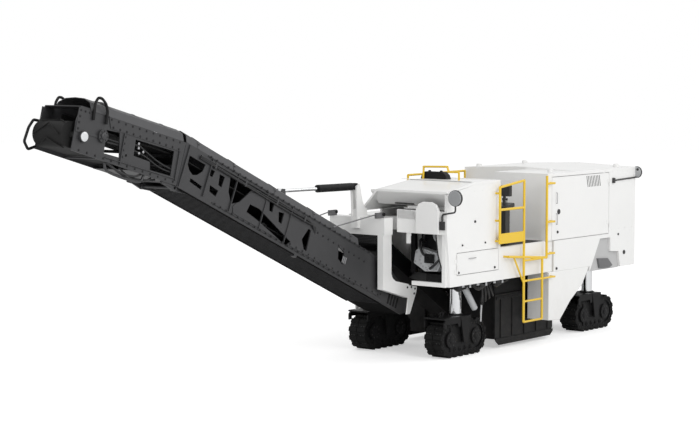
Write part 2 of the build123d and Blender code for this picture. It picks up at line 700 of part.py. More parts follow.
def right_rail():
    """Guard rail along the platform's right edge."""
    front, rear = front_body_rear_x - 60, hood_front_x + 80
    posts = [post(x, right_rail_y, floor_z + seat_gap, 2560, rail_radius) for x in (front, (front + rear) / 2, rear)]
    bars = [bar((front, right_rail_y, z), (rear, right_rail_y, z), rail_radius) for z in (2130, 2560)]
    return joined(*posts, *bars)


nodes["right_rail"] = right_rail()


def roof_rails():
    """Two low grab hoops on the lid beside the exhaust."""
    hoops = []
    # columns: rear x, front x, y, height
    for rear, front, y, height in ((-200, 340, 560, 150), (-260, 120, 900, 110)):
        z = front_roof_z + seat_gap
        hoops.append(pipe_run([(rear, y, z), (rear, y, z + height), (front, y, z + height), (front, y, z)],
                              16, 45))
    return joined(*hoops)


nodes["roof_rails"] = roof_rails()
nodes["exhaust_hood"] = side_slab([(-180, front_roof_z + seat_gap), (-90, 2690), (240, 2690), (300, front_roof_z + seat_gap)],
                                  620, 840)

# ---------------------------------------------------------------- operator's console and mirrors
console_x = -560.0
console_y = 900.0


def console():
    """Pedestal with a tilted panel and a display on a post."""
    pedestal = block(console_x - 60, console_x + 60, console_y - 60, console_y + 60, floor_z + seat_gap, 2080)
    panel = block(console_x - 130, console_x + 90, console_y - 300, console_y + 200, 2070, 2160)
    stem = post(console_x, console_y, 2150, 2330, 22)
    display = block(console_x - 40, console_x + 30, console_y - 110, console_y + 110, 2320, 2500)
    return joined(pedestal, panel, stem, display)


nodes["console"] = console()
mirror_radius = 115.0
mirror_thickness = 30.0


def front_mirror():
    """Round mirror on a bent arm at the front left corner."""
    x, y, z = body_front_x + seat_gap, 1180.0, 2000.0
    base = block(x, x + 30, y - 40, y + 40, z - 60, z + 60)
    arm = pipe_run([(x + 20, y, z + 40), (x + 20, y, z + 160), (x + 20, y + 230, z + 200), (x + 20, y + 230, z + 330)], 12, 40)
    disc = bar((x + 5, y + 230, z + 400), (x + 5 + mirror_thickness, y + 230, z + 400), mirror_radius)
    return joined(base, arm, disc)


def rear_mirror():
    """Round mirror on a straight arm at the rear left corner."""
    x0, x1, y, z = -3530.0, body_rear_x - 20, body_left + 12 + seat_gap, 2430.0
    base = block(x0 - 30, x0 + 30, y - 12, y + 12, z - 40, z + 40)
    arm = bar((x0, y, z), (x1, y, z + 20), 12)
    disc = bar((x1 - 15, y, z + 100), (x1 + 15, y, z + 100), 95)
    return joined(base, arm, disc)


nodes["front_mirror"] = front_mirror()
nodes["rear_mirror"] = rear_mirror()

# ---------------------------------------------------------------- slew yoke
yoke_plate = 35.0
yoke_front_x = slew_x + yoke_half_depth
yoke_rear_x = slew_x - yoke_half_depth
foot_tip_x = 630.0


def yoke_side(side):
    """One arm of the yoke with its foot, which carries the conveyor's pivot pin."""
    outer = conveyor_y + side * (yoke_half_width - 20)
    inner = outer - side * yoke_arm
    outline = [(yoke_front_x, yoke_low_z), (yoke_front_x, yoke_foot_z), (foot_tip_x + 20, 880), (foot_tip_x, 1080),
               (950, 1150), (1020, 1200), (yoke_rear_x, 1260), (yoke_rear_x, yoke_low_z)]
    return side_slab(outline, min(inner, outer), max(inner, outer))


def slew_yoke():
    """Channel-shaped head open to the rear, two arms, the mast and the pivot pins."""
    y0, y1 = conveyor_y - yoke_half_width, conveyor_y + yoke_half_width
    head = block(yoke_rear_x, yoke_front_x, y0, y1, yoke_low_z, yoke_top_z)
    pocket = block(yoke_rear_x - 1, yoke_front_x - 30, y0 + yoke_arm, y1 - yoke_arm,
                   yoke_low_z + yoke_plate, yoke_top_z - yoke_plate)
    pin_bore = post(slew_x, conveyor_y, yoke_low_z - 1, yoke_top_z - 20 + seat_gap, slew_pin_radius + pin_gap)
    mast_foot = [(yoke_rear_x, yoke_top_z - 1), (yoke_front_x + 60, yoke_top_z - 1), (yoke_front_x + 60, 2200),
                 (mast_eye_x + 40, mast_eye_z), (mast_eye_x - 40, mast_eye_z + 40), (1180, 2300)]
    cheeks = [side_slab(mast_foot, conveyor_y + side * 45 - 12, conveyor_y + side * 45 + 12) for side in (left, right)]
    web = block(yoke_rear_x + 10, yoke_front_x + 40, conveyor_y - 40, conveyor_y + 40, yoke_top_z - 1, yoke_top_z + 120)
    nose = block(yoke_front_x - 1, yoke_front_x + 60, conveyor_y - 60, conveyor_y + 60, yoke_top_z - 160, yoke_top_z + 1)
    lift_pin = cross_bar(mast_eye_x, mast_eye_z, conveyor_y - 62, conveyor_y + 62, lift_pin_radius)
    pivots = []
    for side in (left, right):
        inner = conveyor_y + side * (yoke_half_width - 20 - yoke_arm)
        tip = conveyor_y + side * (conveyor_half - pivot_boss_depth + 10)
        pivots.append(cross_bar(pivot_x, pivot_z, min(inner + side, tip), max(inner + side, tip), pivot_pin_radius))
    return joined(head - pocket - pin_bore, yoke_side(left), yoke_side(right), *cheeks, web, nose, lift_pin, *pivots)


nodes["slew_yoke"] = slew_yoke()

# stays from the yoke's head to just outside the conveyor's side plates
stay_rear = (1330.0, 430.0, 2140.0)
stay_front = (2220.0, 345.0, 2010.0)


def stays():
    """Two thin rods with clevis ends."""
    rods = []
    for side in (left, right):
        start = (stay_rear[0], conveyor_y + side * stay_rear[1], stay_rear[2])
        end = (stay_front[0], conveyor_y + side * stay_front[1], stay_front[2])
        seat = block(yoke_front_x - 60, stay_rear[0] + 30, start[1] - 18, start[1] + 18, yoke_top_z + seat_gap, stay_rear[2] + 20)
        rods.append(bar(start, end, 9) + seat)
    return joined(*rods)


nodes["stays"] = stays()
boot_low_z = 1700.0
nodes["boot"] = block(yoke_front_x - 25, yoke_front_x - 5, conveyor_y - 370, conveyor_y + 370,
                      boot_low_z, yoke_low_z - seat_gap)

# ---------------------------------------------------------------- lift cylinder
rod_eye_z = mast_eye_z + 20.0
rod_start = 300.0               # inner end of the rod, from the mast's eye


def lift_barrel():
    """Cylinder barrel with its rear eye."""
    axis = Vector(rod_eye_x - mast_eye_x, 0, rod_eye_z - mast_eye_z).normalized()
    eye_centre = Vector(mast_eye_x, conveyor_y, mast_eye_z)
    eye = cross_bar(mast_eye_x, mast_eye_z, conveyor_y - barrel_eye_half, conveyor_y + barrel_eye_half, 50)
    start = eye_centre + axis * barrel_neck
    neck = bar(tuple(eye_centre), tuple(start + axis), barrel_eye_half)
    end = eye_centre + axis * lift_barrel_length
    tube = bar(tuple(start), tuple(end), lift_barrel_radius)
    hollow = bar(tuple(start + axis * 30), tuple(end + axis), lift_rod_radius + pin_gap)
    bore = cross_bar(mast_eye_x, mast_eye_z, conveyor_y - barrel_eye_half - 1, conveyor_y + barrel_eye_half + 1,
                     lift_pin_radius + pin_gap)
    return joined(eye, neck, tube) - hollow - bore


def lift_rod():
    """Piston rod with its front eye."""
    axis = Vector(rod_eye_x - mast_eye_x, 0, rod_eye_z - mast_eye_z).normalized()
    start = Vector(mast_eye_x, conveyor_y, mast_eye_z) + axis * rod_start
    end = Vector(rod_eye_x, conveyor_y, rod_eye_z) - axis * 10
    shaft = bar(tuple(start), tuple(end), lift_rod_radius)
    eye = cross_bar(rod_eye_x, rod_eye_z, conveyor_y - rod_eye_half, conveyor_y + rod_eye_half, rod_eye_radius)
    return joined(shaft, eye)


nodes["lift_barrel"] = lift_barrel()
nodes["lift_rod"] = lift_rod()

# ---------------------------------------------------------------- discharge conveyor
lower_place = Pos(pivot_x, conveyor_y, pivot_z) * Rot(0, -lower_pitch, 0)
knee_x = pivot_x + lower_length * math.cos(math.radians(lower_pitch))
knee_z = pivot_z + lower_length * math.sin(math.radians(lower_pitch))
upper_place = Pos(knee_x, conveyor_y, knee_z) * Rot(0, -upper_pitch, 0)
knee_bend = (lower_pitch - upper_pitch) / 2
knee_gap = 3.0


def knee_u(w, side):
    """Place of the mitre plane along an axis, at height w over it."""
    return w * math.tan(math.radians(knee_bend)) * side


# fold hinge under the knee: place along the lower axis and height over it
fold_w = -upper_down_knee - 30.0
fold_u = lower_length + knee_u(fold_w, 1)
fold_lug_radius = 40.0
fold_pin_radius = 18.0
fold_clear = 70.0
fold_lug_reach = 260.0
lower_lug_y = (240.0, 266.0)
upper_lug_y = (274.0, 300.0)


def fold_lugs(u, inward, y_range):
    """Pair of hinge lugs at the fold, reaching back along the section to its pan."""
    lugs = []
    far = u + inward * fold_lug_reach
    for side in (left, right):
        low, high = sorted(side * y for y in y_range)
        disc = cross_bar(u, fold_w, low, high, fold_lug_radius)
        arm = side_slab([(u, fold_w - fold_lug_radius), (u, fold_w + fold_lug_radius * 0.6), (far, fold_w + 50),
                         (far, fold_w + 20)], low, high)
        lugs += [disc, arm]
    return lugs


def lower_frame():
    """Two side plates joined by cross bars and a floor pan."""
    end_top = lower_length + knee_u(lower_up, 1) - knee_gap
    end_low = lower_length + knee_u(-lower_down, 1) - knee_gap
    outline = [(tail_u, -lower_down), (end_low, -lower_down), (end_top, lower_up), (820, lower_up),
               (420, lower_up - 20), (-190, 60), (tail_u + 30, -60)]
    half = conveyor_half
    plates = []
    pivot_hole = cross_bar(0, 0, -half - 1, half + 1, pivot_pin_radius + pin_gap)
    for side in (left, right):
        y0, y1 = side * half, side * (half - conveyor_side)
        web = side_slab(outline, min(y0, y1), max(y0, y1))
        rail = block(tail_u, fold_u - fold_clear, min(side * half, side * (half - 60)), max(side * half, side * (half - 60)),
                     -lower_down, -lower_down + 16)
        boss_in, boss_out = sorted((side * half, side * (half - pivot_boss_depth)))
        boss = cross_bar(0, 0, boss_in, boss_out, 80)
        plates += [web, rail, boss]
    pan = block(300, fold_u - fold_clear, -half + 1, half - 1, -lower_down, -lower_down + 8)
    bars = [cross_bar(u, lower_belt_w, -half + 1, half - 1, 20) for u in (700, 2400, 4100)]
    lugs = fold_lugs(fold_u, -1, lower_lug_y)
    pin = cross_bar(fold_u, fold_w, -upper_lug_y[1], upper_lug_y[1], fold_pin_radius)
    return joined(*plates, pan, *bars, *lugs, pin) - pivot_hole


def arch_shell(length):
    """Arched cover over a stretch of conveyor, starting at u = 0 and sitting at w = 0."""
    half = conveyor_half - 2

    def bow(half_width, rise):
        return make_face(Polyline((half_width, -1), (half_width, 0), (half_width * 0.86, rise * 0.62), (half_width * 0.5, rise * 0.93),
                                  (0, rise), (-half_width * 0.5, rise * 0.93), (-half_width * 0.86, rise * 0.62), (-half_width, 0),
                                  (-half_width, -1), close=True))
    outer = extrude(Plane.YZ * bow(half, cover_rise), amount=length, dir=(1, 0, 0))
    inner = extrude(Pos(-1, 0, 0) * (Plane.YZ * bow(half - cover_skin, cover_rise - cover_skin)),
                    amount=length + 2, dir=(1, 0, 0))
    return outer - inner


def belt(length, tail_w, radius, knee_at_end):
    """Half of the belt loop: round one pulley, open at the knee."""
    sign = 1 if knee_at_end else -1
    inner_radius = radius
    outer = Pos(0, 0, tail_w) * (Rot(90, 0, 0) * Cylinder(inner_radius + belt_thickness, 2 * belt_half))
    outer += Pos(sign * length / 2, 0, tail_w) * Box(length, 2 * belt_half, 2 * (inner_radius + belt_thickness))
    inner = Pos(0, 0, tail_w) * (Rot(90, 0, 0) * Cylinder(inner_radius, 2 * belt_half + 2))
    inner += Pos(sign * (length / 2 + 1), 0, tail_w) * Box(length + 2, 2 * belt_half + 2, 2 * inner_radius)
    return outer - inner


nodes["conveyor_lower_frame"] = lower_place * lower_frame()
cover_start_u = 1150.0
nodes["conveyor_lower_cover"] = lower_place * Pos(cover_start_u, 0, lower_up + seat_gap + 1) * arch_shell(
    lower_length + knee_u(lower_up, 1) - cover_start_u - knee_gap)
knee_clear = 60.0               # belts stop this far from the knee
tail_shaft_half = conveyor_half - pivot_boss_depth - seat_gap
head_shaft_half = conveyor_half - conveyor_side - seat_gap
nodes["conveyor_lower_belt"] = lower_place * joined(
    belt(lower_length - knee_clear, lower_belt_w, tail_pulley_radius, True),
    cross_bar(0, lower_belt_w, -belt_half, belt_half, tail_pulley_radius),
    cross_bar(0, lower_belt_w, -tail_shaft_half, tail_shaft_half, belt_shaft_radius))


def upper_frame():
    """Two truss plates with windows, joined by bars and a pan."""
    start_top = knee_u(upper_up, -1) + knee_gap
    start_low = knee_u(-upper_down_knee, -1) + knee_gap
    nose_u = upper_length + 20
    top_outline = [(start_low, -upper_down_knee), (nose_u, -upper_down_head), (nose_u, 10), (nose_u - 90, 60),
                   (nose_u - 90, upper_up), (start_top, upper_up)]
    windows = []
    # columns: start, end, low w, high w
    for start, end, low, high in ((150, 420, -160, 120), (500, 760, -160, 120), (1000, 1250, -150, 110)):
        windows.append(block(start, end, -conveyor_half - 1, conveyor_half + 1, low, high))
    plates = []
    for side in (left, right):
        y0, y1 = side * conveyor_half, side * (conveyor_half - conveyor_side)
        plates.append(side_slab(top_outline, min(y0, y1), max(y0, y1)) - windows)
    fold_here = knee_u(fold_w, -1)
    pan = block(fold_here + fold_clear, 900, -conveyor_half + 1, conveyor_half - 1, -upper_down_knee + 14,
                -upper_down_knee + 22)
    lugs = fold_lugs(fold_here, 1, upper_lug_y)
    for side in (left, right):
        low, high = sorted((side * (upper_lug_y[1] - 1), side * (conveyor_half - conveyor_side + 1)))
        lugs.append(block(fold_here + fold_clear, fold_here + fold_lug_reach, low, high, fold_w, fold_w + 44))
    pin_bore = cross_bar(fold_here, fold_w, -upper_lug_y[1] - 1, upper_lug_y[1] + 1, fold_pin_radius + pin_gap)
    bars = [cross_bar(u, -head_pulley_drop, -conveyor_half + 1, conveyor_half - 1, 20) for u in (460, 880, 1500)]
    low_bars = [cross_bar(u, -242, -conveyor_half + 1, conveyor_half - 1, 12) for u in (700, 1400)]
    return joined(*plates, pan, *bars, *low_bars, *lugs) - pin_bore


nodes["conveyor_upper_frame"] = upper_place * upper_frame()
upper_cover_start = knee_u(upper_up + 0, -1) + knee_gap + 30
nodes["conveyor_upper_cover"] = upper_place * Pos(upper_cover_start, 0, upper_up + seat_gap + 1) * arch_shell(
    upper_length - 90 - upper_cover_start)
nodes["conveyor_upper_belt"] = upper_place * Pos(upper_length, 0, 0) * joined(
    belt(upper_length - knee_clear, -head_pulley_drop, head_pulley_radius, False),
    cross_bar(0, -head_pulley_drop, -belt_half, belt_half, head_pulley_radius),
    cross_bar(0, -head_pulley_drop, -head_shaft_half, head_shaft_half, belt_shaft_radius))

rod_lug_gap = 8.0
rod_lug_thickness = 16.0


def rod_lug():
    """Two cheeks on the cover's crest, one each side of the rod's eye."""
    cheeks = []
    foot_z = rod_eye_z - 150
    for side in (left, right):
        inner = conveyor_y + side * (rod_eye_half + rod_lug_gap)
        outer = inner + side * rod_lug_thickness
        cheeks.append(side_slab([(rod_eye_x - 60, foot_z), (rod_eye_x + 110, foot_z), (rod_eye_x + 30, rod_eye_z + 30),
                                 (rod_eye_x - 30, rod_eye_z + 30)], min(inner, outer), max(inner, outer)))
    return cheeks


crest_inside = lower_place * block(0, lower_length, -200, 200, -lower_down, lower_up + cover_rise - 4)
nodes["conveyor_lower_cover"] = nodes["conveyor_lower_cover"] + [cheek - crest_inside for cheek in rod_lug()]


def head_guard():
    """Open bracket round the head pulley and two grab hoops on top."""
    hoops = []
    for side in (left, right):
        y = side * (conveyor_half + 10 + seat_gap)
        ring = Pos(upper_length - 330, y, 300) * (Rot(90, 0, 0) * (Cylinder(150, 20) - Cylinder(125, 21)))
        hoops.append(ring)
    side = right
    y = side * (conveyor_half - 6)
    arms = [bar((upper_length + 20 + seat_gap, y, w), (upper_length + 230, y, w), 16) for w in (-190, 60)]
    end = bar((upper_length + 230, y, -206), (upper_length + 230, y, 76), 16)
    return joined(*hoops, *arms, end)


nodes["head_guard"] = upper_place * head_guard()

# ---------------------------------------------------------------- export
head_reach_x = max(nodes["head_guard"].bounding_box().max.X, 0.0)
origin_x = (head_reach_x + tow_eye_tip_x) / 2
left_reach_y = nodes["front_mirror"].bounding_box().max.Y
right_reach_y = body_right
origin_y = (left_reach_y + right_reach_y) / 2
print(f"origin shift {origin_x:.3f} {origin_y:.3f}")
for name, shape in nodes.items():
    export_step(Pos(-origin_x, -origin_y, 0) * shape, f"parts/{name}.step")
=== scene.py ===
# %% [markdown]
# # Dressing a cold planer
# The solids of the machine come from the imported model: every body, joint and place is fixed there.
# This script gives them their looks: rounded edges, worn paint, track shoes, belts, hoses and bolts.
# Each piece rides on the body it belongs to, so the machine still folds, slews and steers.

import json
import math

import bmesh
import bpy
from mathutils import Matrix, Vector


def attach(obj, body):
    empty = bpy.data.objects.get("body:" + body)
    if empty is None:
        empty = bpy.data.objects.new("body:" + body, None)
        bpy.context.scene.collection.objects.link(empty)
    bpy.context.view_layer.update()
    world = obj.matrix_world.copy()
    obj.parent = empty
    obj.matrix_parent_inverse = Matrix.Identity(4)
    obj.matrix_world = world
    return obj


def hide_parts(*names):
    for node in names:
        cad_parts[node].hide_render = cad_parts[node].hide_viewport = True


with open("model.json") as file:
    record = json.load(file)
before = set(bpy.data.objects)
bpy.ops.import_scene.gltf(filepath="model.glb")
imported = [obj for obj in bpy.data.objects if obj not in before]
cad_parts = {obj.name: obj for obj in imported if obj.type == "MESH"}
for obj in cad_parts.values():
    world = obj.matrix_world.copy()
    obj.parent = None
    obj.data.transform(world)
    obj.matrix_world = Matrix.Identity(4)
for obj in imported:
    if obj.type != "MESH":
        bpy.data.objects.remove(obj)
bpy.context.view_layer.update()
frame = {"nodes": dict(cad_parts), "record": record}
nodes = frame["nodes"]

# %% [markdown]
# The solids were drawn with the front track's axle as X = 0 and the tracks' middle as Y = 0. Packing moved
# them so that the origin lies under the middle of the box. One shift takes a machine place to a frame place.

# %% Places on the machine
shift_x, shift_y = 1.539, 0.3125


def at(x, y, z):
    """Frame place of a machine place, both in metres."""
    return Vector((x - shift_x, y - shift_y, z))


left_face, wall_inside, right_face, rear_face = 1.2495, 1.2097, -0.8995, -4.2195
frame_top, deck_top, roof_top = 1.2503, 1.6003, 2.5903
conveyor_y = -0.17
lower_pitch = math.radians(24.0)
upper_pitch = math.radians(14.7)
pivot = at(0.68, conveyor_y, 0.97)
lower_turn = Matrix.Translation(pivot) @ Matrix.Rotation(-lower_pitch, 4, "Y")
knee_u = 5.03
knee = lower_turn @ Vector((knee_u, 0, 0))
upper_turn = Matrix.Translation(knee) @ Matrix.Rotation(-upper_pitch, 4, "Y")
print("knee at", tuple(round(value, 3) for value in knee))

# %% [markdown]
# ## Camera, floor and light
# The camera stands 30 m off with a long lens, as for a catalogue picture. The backdrop is white by its own
# colour, which only camera, glossy and transmission rays see, so the lamps can stay at a plain level.

# %% Camera
picture_width, focal_length = 699.0, 2000.0       # only their ratio counts
camera = bpy.data.objects.new("camera", bpy.data.cameras.new("camera"))
bpy.context.scene.collection.objects.link(camera)
camera.location = at(23.907, 17.585, 4.354)
yaw, tilt = 0.6683, 0.08
looking = Vector((-math.cos(yaw) * math.cos(tilt), -math.sin(yaw) * math.cos(tilt), -math.sin(tilt)))
camera.rotation_euler = looking.to_track_quat("-Z", "Y").to_euler()
camera.data.sensor_width = 36.0
camera.data.lens = 36.0 * focal_length / picture_width
camera.data.clip_end = 500.0
bpy.context.scene.camera = camera
bpy.context.scene.view_settings.view_transform = "Standard"
print("lens:", round(camera.data.lens, 1), "mm")


# %% World
def add(tree, kind, inputs=None, **settings):
    """New node in a tree. Each input is a socket to link or a plain value."""
    node = tree.nodes.new(kind)
    for name, value in settings.items():
        setattr(node, name, value)
    for socket, value in (inputs or {}).items():
        if isinstance(value, bpy.types.NodeSocket):
            tree.links.new(value, node.inputs[socket])
        else:
            node.inputs[socket].default_value = value
    return node


ambient_strength = 0.68
world = bpy.data.worlds.new("studio")
bpy.context.scene.world = world
world.use_nodes = True
tree = world.node_tree
tree.nodes.clear()
ray = add(tree, "ShaderNodeLightPath").outputs
seen = add(tree, "ShaderNodeMath", {0: ray["Is Camera Ray"], 1: ray["Is Transmission Ray"]},
           operation="MAXIMUM")
seen = add(tree, "ShaderNodeMath", {0: seen.outputs[0], 1: ray["Is Glossy Ray"]}, operation="MAXIMUM")
strength = add(tree, "ShaderNodeMapRange", {"Value": seen.outputs[0], "To Min": ambient_strength,
                                            "To Max": 1.0})
background = add(tree, "ShaderNodeBackground", {"Color": (1, 1, 1, 1), "Strength": strength.outputs[0]})
add(tree, "ShaderNodeOutputWorld", {"Surface": background.outputs[0]})
print("world:", world.name)

# %% Lamps
lamps = {
    # name: place, aim, size, power
    "key": ((6.0, 20.0, 12.0), (-1.5, 0.0, 1.5), 9.0, 1800.0),
    "front": ((20.0, 2.0, 8.0), (1.0, 0.0, 1.5), 8.0, 650.0),
    "back": ((-10.0, 10.0, 12.0), (-2.0, 0.0, 1.5), 8.0, 450.0),
}
for name, (place, aim, size, power) in lamps.items():
    light = bpy.data.lights.new(name, "AREA")
    light.size = size
    light.energy = power
    lamp = bpy.data.objects.new(name, light)
    lamp.location = place
    lamp.rotation_euler = (Vector(aim) - Vector(place)).to_track_quat("-Z", "Y").to_euler()
    bpy.context.scene.collection.objects.link(lamp)
print("lamps:", ", ".join(lamps))

# %% [markdown]
# ## Materials
# Every material is made from noise read in object coordinates, so it moves with its body. Image textures
# could do the same, but noise needs no files and shows no seams.


# %% Node shorthands for materials
def noise(tree, vector, scale, detail, roughness):
    """Value of a noise texture on a vector socket."""
    sockets = {"Vector": vector, "Scale": scale, "Detail": detail, "Roughness": roughness}
    return add(tree, "ShaderNodeTexNoise", sockets).outputs[0]


def spread(tree, value, low, high, to_low, to_high):
    """Value moved from one range to another."""
    sockets = {"Value": value, "From Min": low, "From Max": high, "To Min": to_low, "To Max": to_high}
    return add(tree, "ShaderNodeMapRange", sockets).outputs[0]


def product(tree, first, second):
    """Two values multiplied."""
    return add(tree, "ShaderNodeMath", {0: first, 1: second}, operation="MULTIPLY").outputs[0]


def mix_colour(tree, factor, first, second):
    """Mix of two colours."""
    return add(tree, "ShaderNodeMix", {0: factor, 6: first, 7: second}, data_type="RGBA").outputs[2]


def principled(name, values):
    """New material with values on its shader's sockets. Returns it with its tree and shader."""
    material = bpy.data.materials.new(name)
    material.use_nodes = True
    shader = material.node_tree.nodes["Principled BSDF"]
    for socket, value in values.items():
        shader.inputs[socket].default_value = value
    return material, material.node_tree, shader


# %% [markdown]
# **Weathered coat.** Paint on a machine is never one colour: broad patches differ a little, and dust settles
# low down. One group gives colour, roughness and a fine orange-peel height.

# %% Weathered coat group
coat = bpy.data.node_groups.new("weathered_coat", "ShaderNodeTree")
for socket, kind, value in (("Paint", "Color", (0.8, 0.8, 0.8, 1)),
                            ("Dust Colour", "Color", (0.42, 0.39, 0.35, 1)),
                            ("Patches", "Float", 0.04), ("Dust", "Float", 0.15), ("Gloss", "Float", 0.35),
                            ("Peel Scale", "Float", 160.0)):
    made = coat.interface.new_socket(socket, in_out="INPUT", socket_type="NodeSocket" + kind)
    made.default_value = value
for socket, kind in (("Colour", "Color"), ("Roughness", "Float"), ("Height", "Float")):
    coat.interface.new_socket(socket, in_out="OUTPUT", socket_type="NodeSocket" + kind)
knob = add(coat, "NodeGroupInput").outputs
place = add(coat, "ShaderNodeTexCoord").outputs["Object"]
patches = noise(coat, place, 1.3, 4.0, 0.6)
grime = noise(coat, place, 7.0, 6.0, 0.7)
peel = noise(coat, place, knob["Peel Scale"], 2.0, 0.5)
patch_amount = product(coat, spread(coat, patches, 0.3, 0.7, 0.0, 1.0), knob["Patches"])
darker = mix_colour(coat, patch_amount, knob["Paint"], (0.05, 0.05, 0.05, 1))
height = add(coat, "ShaderNodeSeparateXYZ", {0: place}).outputs["Z"]
dust_here = product(coat, spread(coat, height, 1.3, 0.1, 0.0, 1.0),
                    spread(coat, grime, 0.35, 0.75, 0.0, 1.0))
dusty = mix_colour(coat, product(coat, dust_here, knob["Dust"]), darker, knob["Dust Colour"])
rough = add(coat, "ShaderNodeMath", {0: grime, 1: 0.16, 2: knob["Gloss"]},
            operation="MULTIPLY_ADD").outputs[0]
add(coat, "NodeGroupOutput", {"Colour": dusty, "Roughness": rough, "Height": peel})
print("group:", coat.name)


# %% A painted material from the group
def painted(name, colour, dust=0.15, patches=0.04, gloss=0.35, peel_scale=160.0, bump=0.02, coat_weight=0.0,
            metallic=0.0, dust_colour=(0.42, 0.39, 0.35), shine=0.5):
    """Principled material fed by the weathered coat."""
    material, tree, shader = principled(name, {"Specular IOR Level": shine, "Metallic": metallic})
    values = {"Paint": (*colour, 1), "Dust Colour": (*dust_colour, 1), "Patches": patches, "Dust": dust,
              "Gloss": gloss, "Peel Scale": peel_scale}
    group = add(tree, "ShaderNodeGroup", values, node_tree=coat)
    grain = add(tree, "ShaderNodeBump", {"Strength": bump, "Distance": 0.002,
                                         "Height": group.outputs["Height"]})
    for source, socket in ((group.outputs["Colour"], "Base Color"), (group.outputs["Roughness"], "Roughness"),
                           (grain.outputs[0], "Normal")):
        tree.links.new(source, shader.inputs[socket])
    if coat_weight:
        shader.inputs["Coat Weight"].default_value = coat_weight
        shader.inputs["Coat Roughness"].default_value = 0.12
    return material


def bright_metal(name, colour, roughness, brushed):
    """Polished or brushed steel with fine lines round it."""
    material, tree, shader = principled(name, {"Metallic": 1.0})
    place = add(tree, "ShaderNodeTexCoord").outputs["Object"]
    lines = noise(tree, place, brushed, 3.0, 0.5)
    finish = spread(tree, lines, 0.3, 0.7, roughness * 0.7, roughness * 1.3)
    tint = mix_colour(tree, lines, (*[c * 0.9 for c in colour], 1), (*colour, 1))
    tree.links.new(finish, shader.inputs["Roughness"])
    tree.links.new(tint, shader.inputs["Base Color"])
    return material


# %% The paints
white_paint = painted("white_paint", (0.8, 0.8, 0.79), dust=0.18, patches=0.03, gloss=0.3, coat_weight=0.25)
frame_black = painted("frame_black", (0.006, 0.006, 0.0065), shine=0.16, dust=0.05, gloss=0.42, bump=0.05)
conveyor_paint = painted("conveyor_paint", (0.026, 0.026, 0.028), dust=0.1, patches=0.1, gloss=0.38,
                         bump=0.05)
cover_paint = painted("cover_paint", (0.045, 0.045, 0.048), dust=0.05, patches=0.1, gloss=0.5, bump=0.08)
track_rubber = painted("track_rubber", (0.005, 0.005, 0.005), shine=0.14, dust=0.04, gloss=0.6,
                       peel_scale=60.0, bump=0.25, dust_colour=(0.1, 0.095, 0.09))
carrier_black = painted("carrier_black", (0.006, 0.006, 0.0065), shine=0.16, dust=0.04, gloss=0.45,
                        bump=0.05, dust_colour=(0.12, 0.11, 0.1))
rail_yellow = painted("rail_yellow", (0.76, 0.5, 0.02), dust=0.1, gloss=0.32, coat_weight=0.2)
belt_rubber = painted("belt_rubber", (0.009, 0.009, 0.009), shine=0.2, dust=0.06, gloss=0.62,
                      peel_scale=40.0, bump=0.3)
casting_grey = painted("casting_grey", (0.46, 0.47, 0.48), dust=0.08, gloss=0.48, peel_scale=90.0, bump=0.3)
drum_steel = painted("drum_steel", (0.06, 0.058, 0.055), dust=0.2, gloss=0.45, peel_scale=70.0, bump=0.35,
                     metallic=0.6)
black_plastic = painted("black_plastic", (0.02, 0.02, 0.02), dust=0.05, gloss=0.45, peel_scale=220.0,
                        bump=0.12)
leg_chrome = bright_metal("leg_chrome", (0.8, 0.81, 0.82), 0.12, 30.0)
bolt_steel = bright_metal("bolt_steel", (0.45, 0.45, 0.46), 0.35, 200.0)
dark_steel = painted("dark_steel", (0.016, 0.016, 0.017), dust=0.05, gloss=0.45, shine=0.3)
hose_rubber = painted("hose_rubber", (0.01, 0.01, 0.011), dust=0.15, gloss=0.5, peel_scale=260.0, bump=0.1)
lens_white = painted("lens_white", (0.62, 0.63, 0.64), dust=0.03, patches=0.06, gloss=0.18, coat_weight=0.6)
# Near black for the conveyor's underside, darker than its paint: painted shade.
belly_shade_black = painted("belly_shade_black", (0.003, 0.003, 0.003), dust=0.0, gloss=0.75, shine=0.08)
slat_black = painted("slat_black", (0.01, 0.01, 0.011), dust=0.02, gloss=0.5, shine=0.2)
strut_grey = painted("strut_grey", (0.16, 0.16, 0.165), dust=0.1, gloss=0.35, metallic=0.5)
mirror_silver = painted("mirror_silver", (0.42, 0.43, 0.44), dust=0.1, patches=0.2, gloss=0.25,
                        metallic=0.4)
# Grey of the wheel-arch panel: painted shade in the white arch.
arch_shade_grey = painted("arch_shade_grey", (0.46, 0.46, 0.46), dust=0.08, gloss=0.4)
lamp_red = painted("lamp_red", (0.35, 0.012, 0.01), dust=0.03, gloss=0.15, coat_weight=0.6)
lamp_amber = painted("lamp_amber", (0.62, 0.2, 0.015), dust=0.03, gloss=0.15, coat_weight=0.6)

slot_paint = {
    "body_white": white_paint, "frame_dark": frame_black, "conveyor_grey": conveyor_paint,
    "cover_grey": cover_paint, "track_black": track_rubber, "carrier_dark": carrier_black,
    "rail_yellow": rail_yellow, "leg_chrome": leg_chrome, "engine_grey": casting_grey,
    "belt_black": belt_rubber, "drum_dark": drum_steel, "console_black": black_plastic,
    "mirror_black": black_plastic,
}
node_slot = {entry["node"]: entry["material_slot"] for entry in frame["record"]["subparts"]}
node_body = {node: body for body, members in frame["record"]["behaviour"]["bodies"].items()
             for node in members}
for name, thing in nodes.items():
    paint = slot_paint[node_slot[name]]
    thing.data.materials.clear()
    thing.data.materials.append(paint)
print("painted", len(nodes), "nodes")

# %% [markdown]
# ## Rounded edges
# Pressed and welded steel has no knife edges: every corner catches a thin line of light. A copy of a solid is
# merged, its flat faces joined, and a Bevel modifier rounds what is left. The copy then stands for its solid.


# %% Soften a solid
def bake(thing):
    """Object with its modifiers applied, as a plain mesh."""
    evaluated = thing.evaluated_get(bpy.context.evaluated_depsgraph_get())
    mesh = bpy.data.meshes.new_from_object(evaluated)
    thing.modifiers.clear()
    thing.data = mesh
    return thing


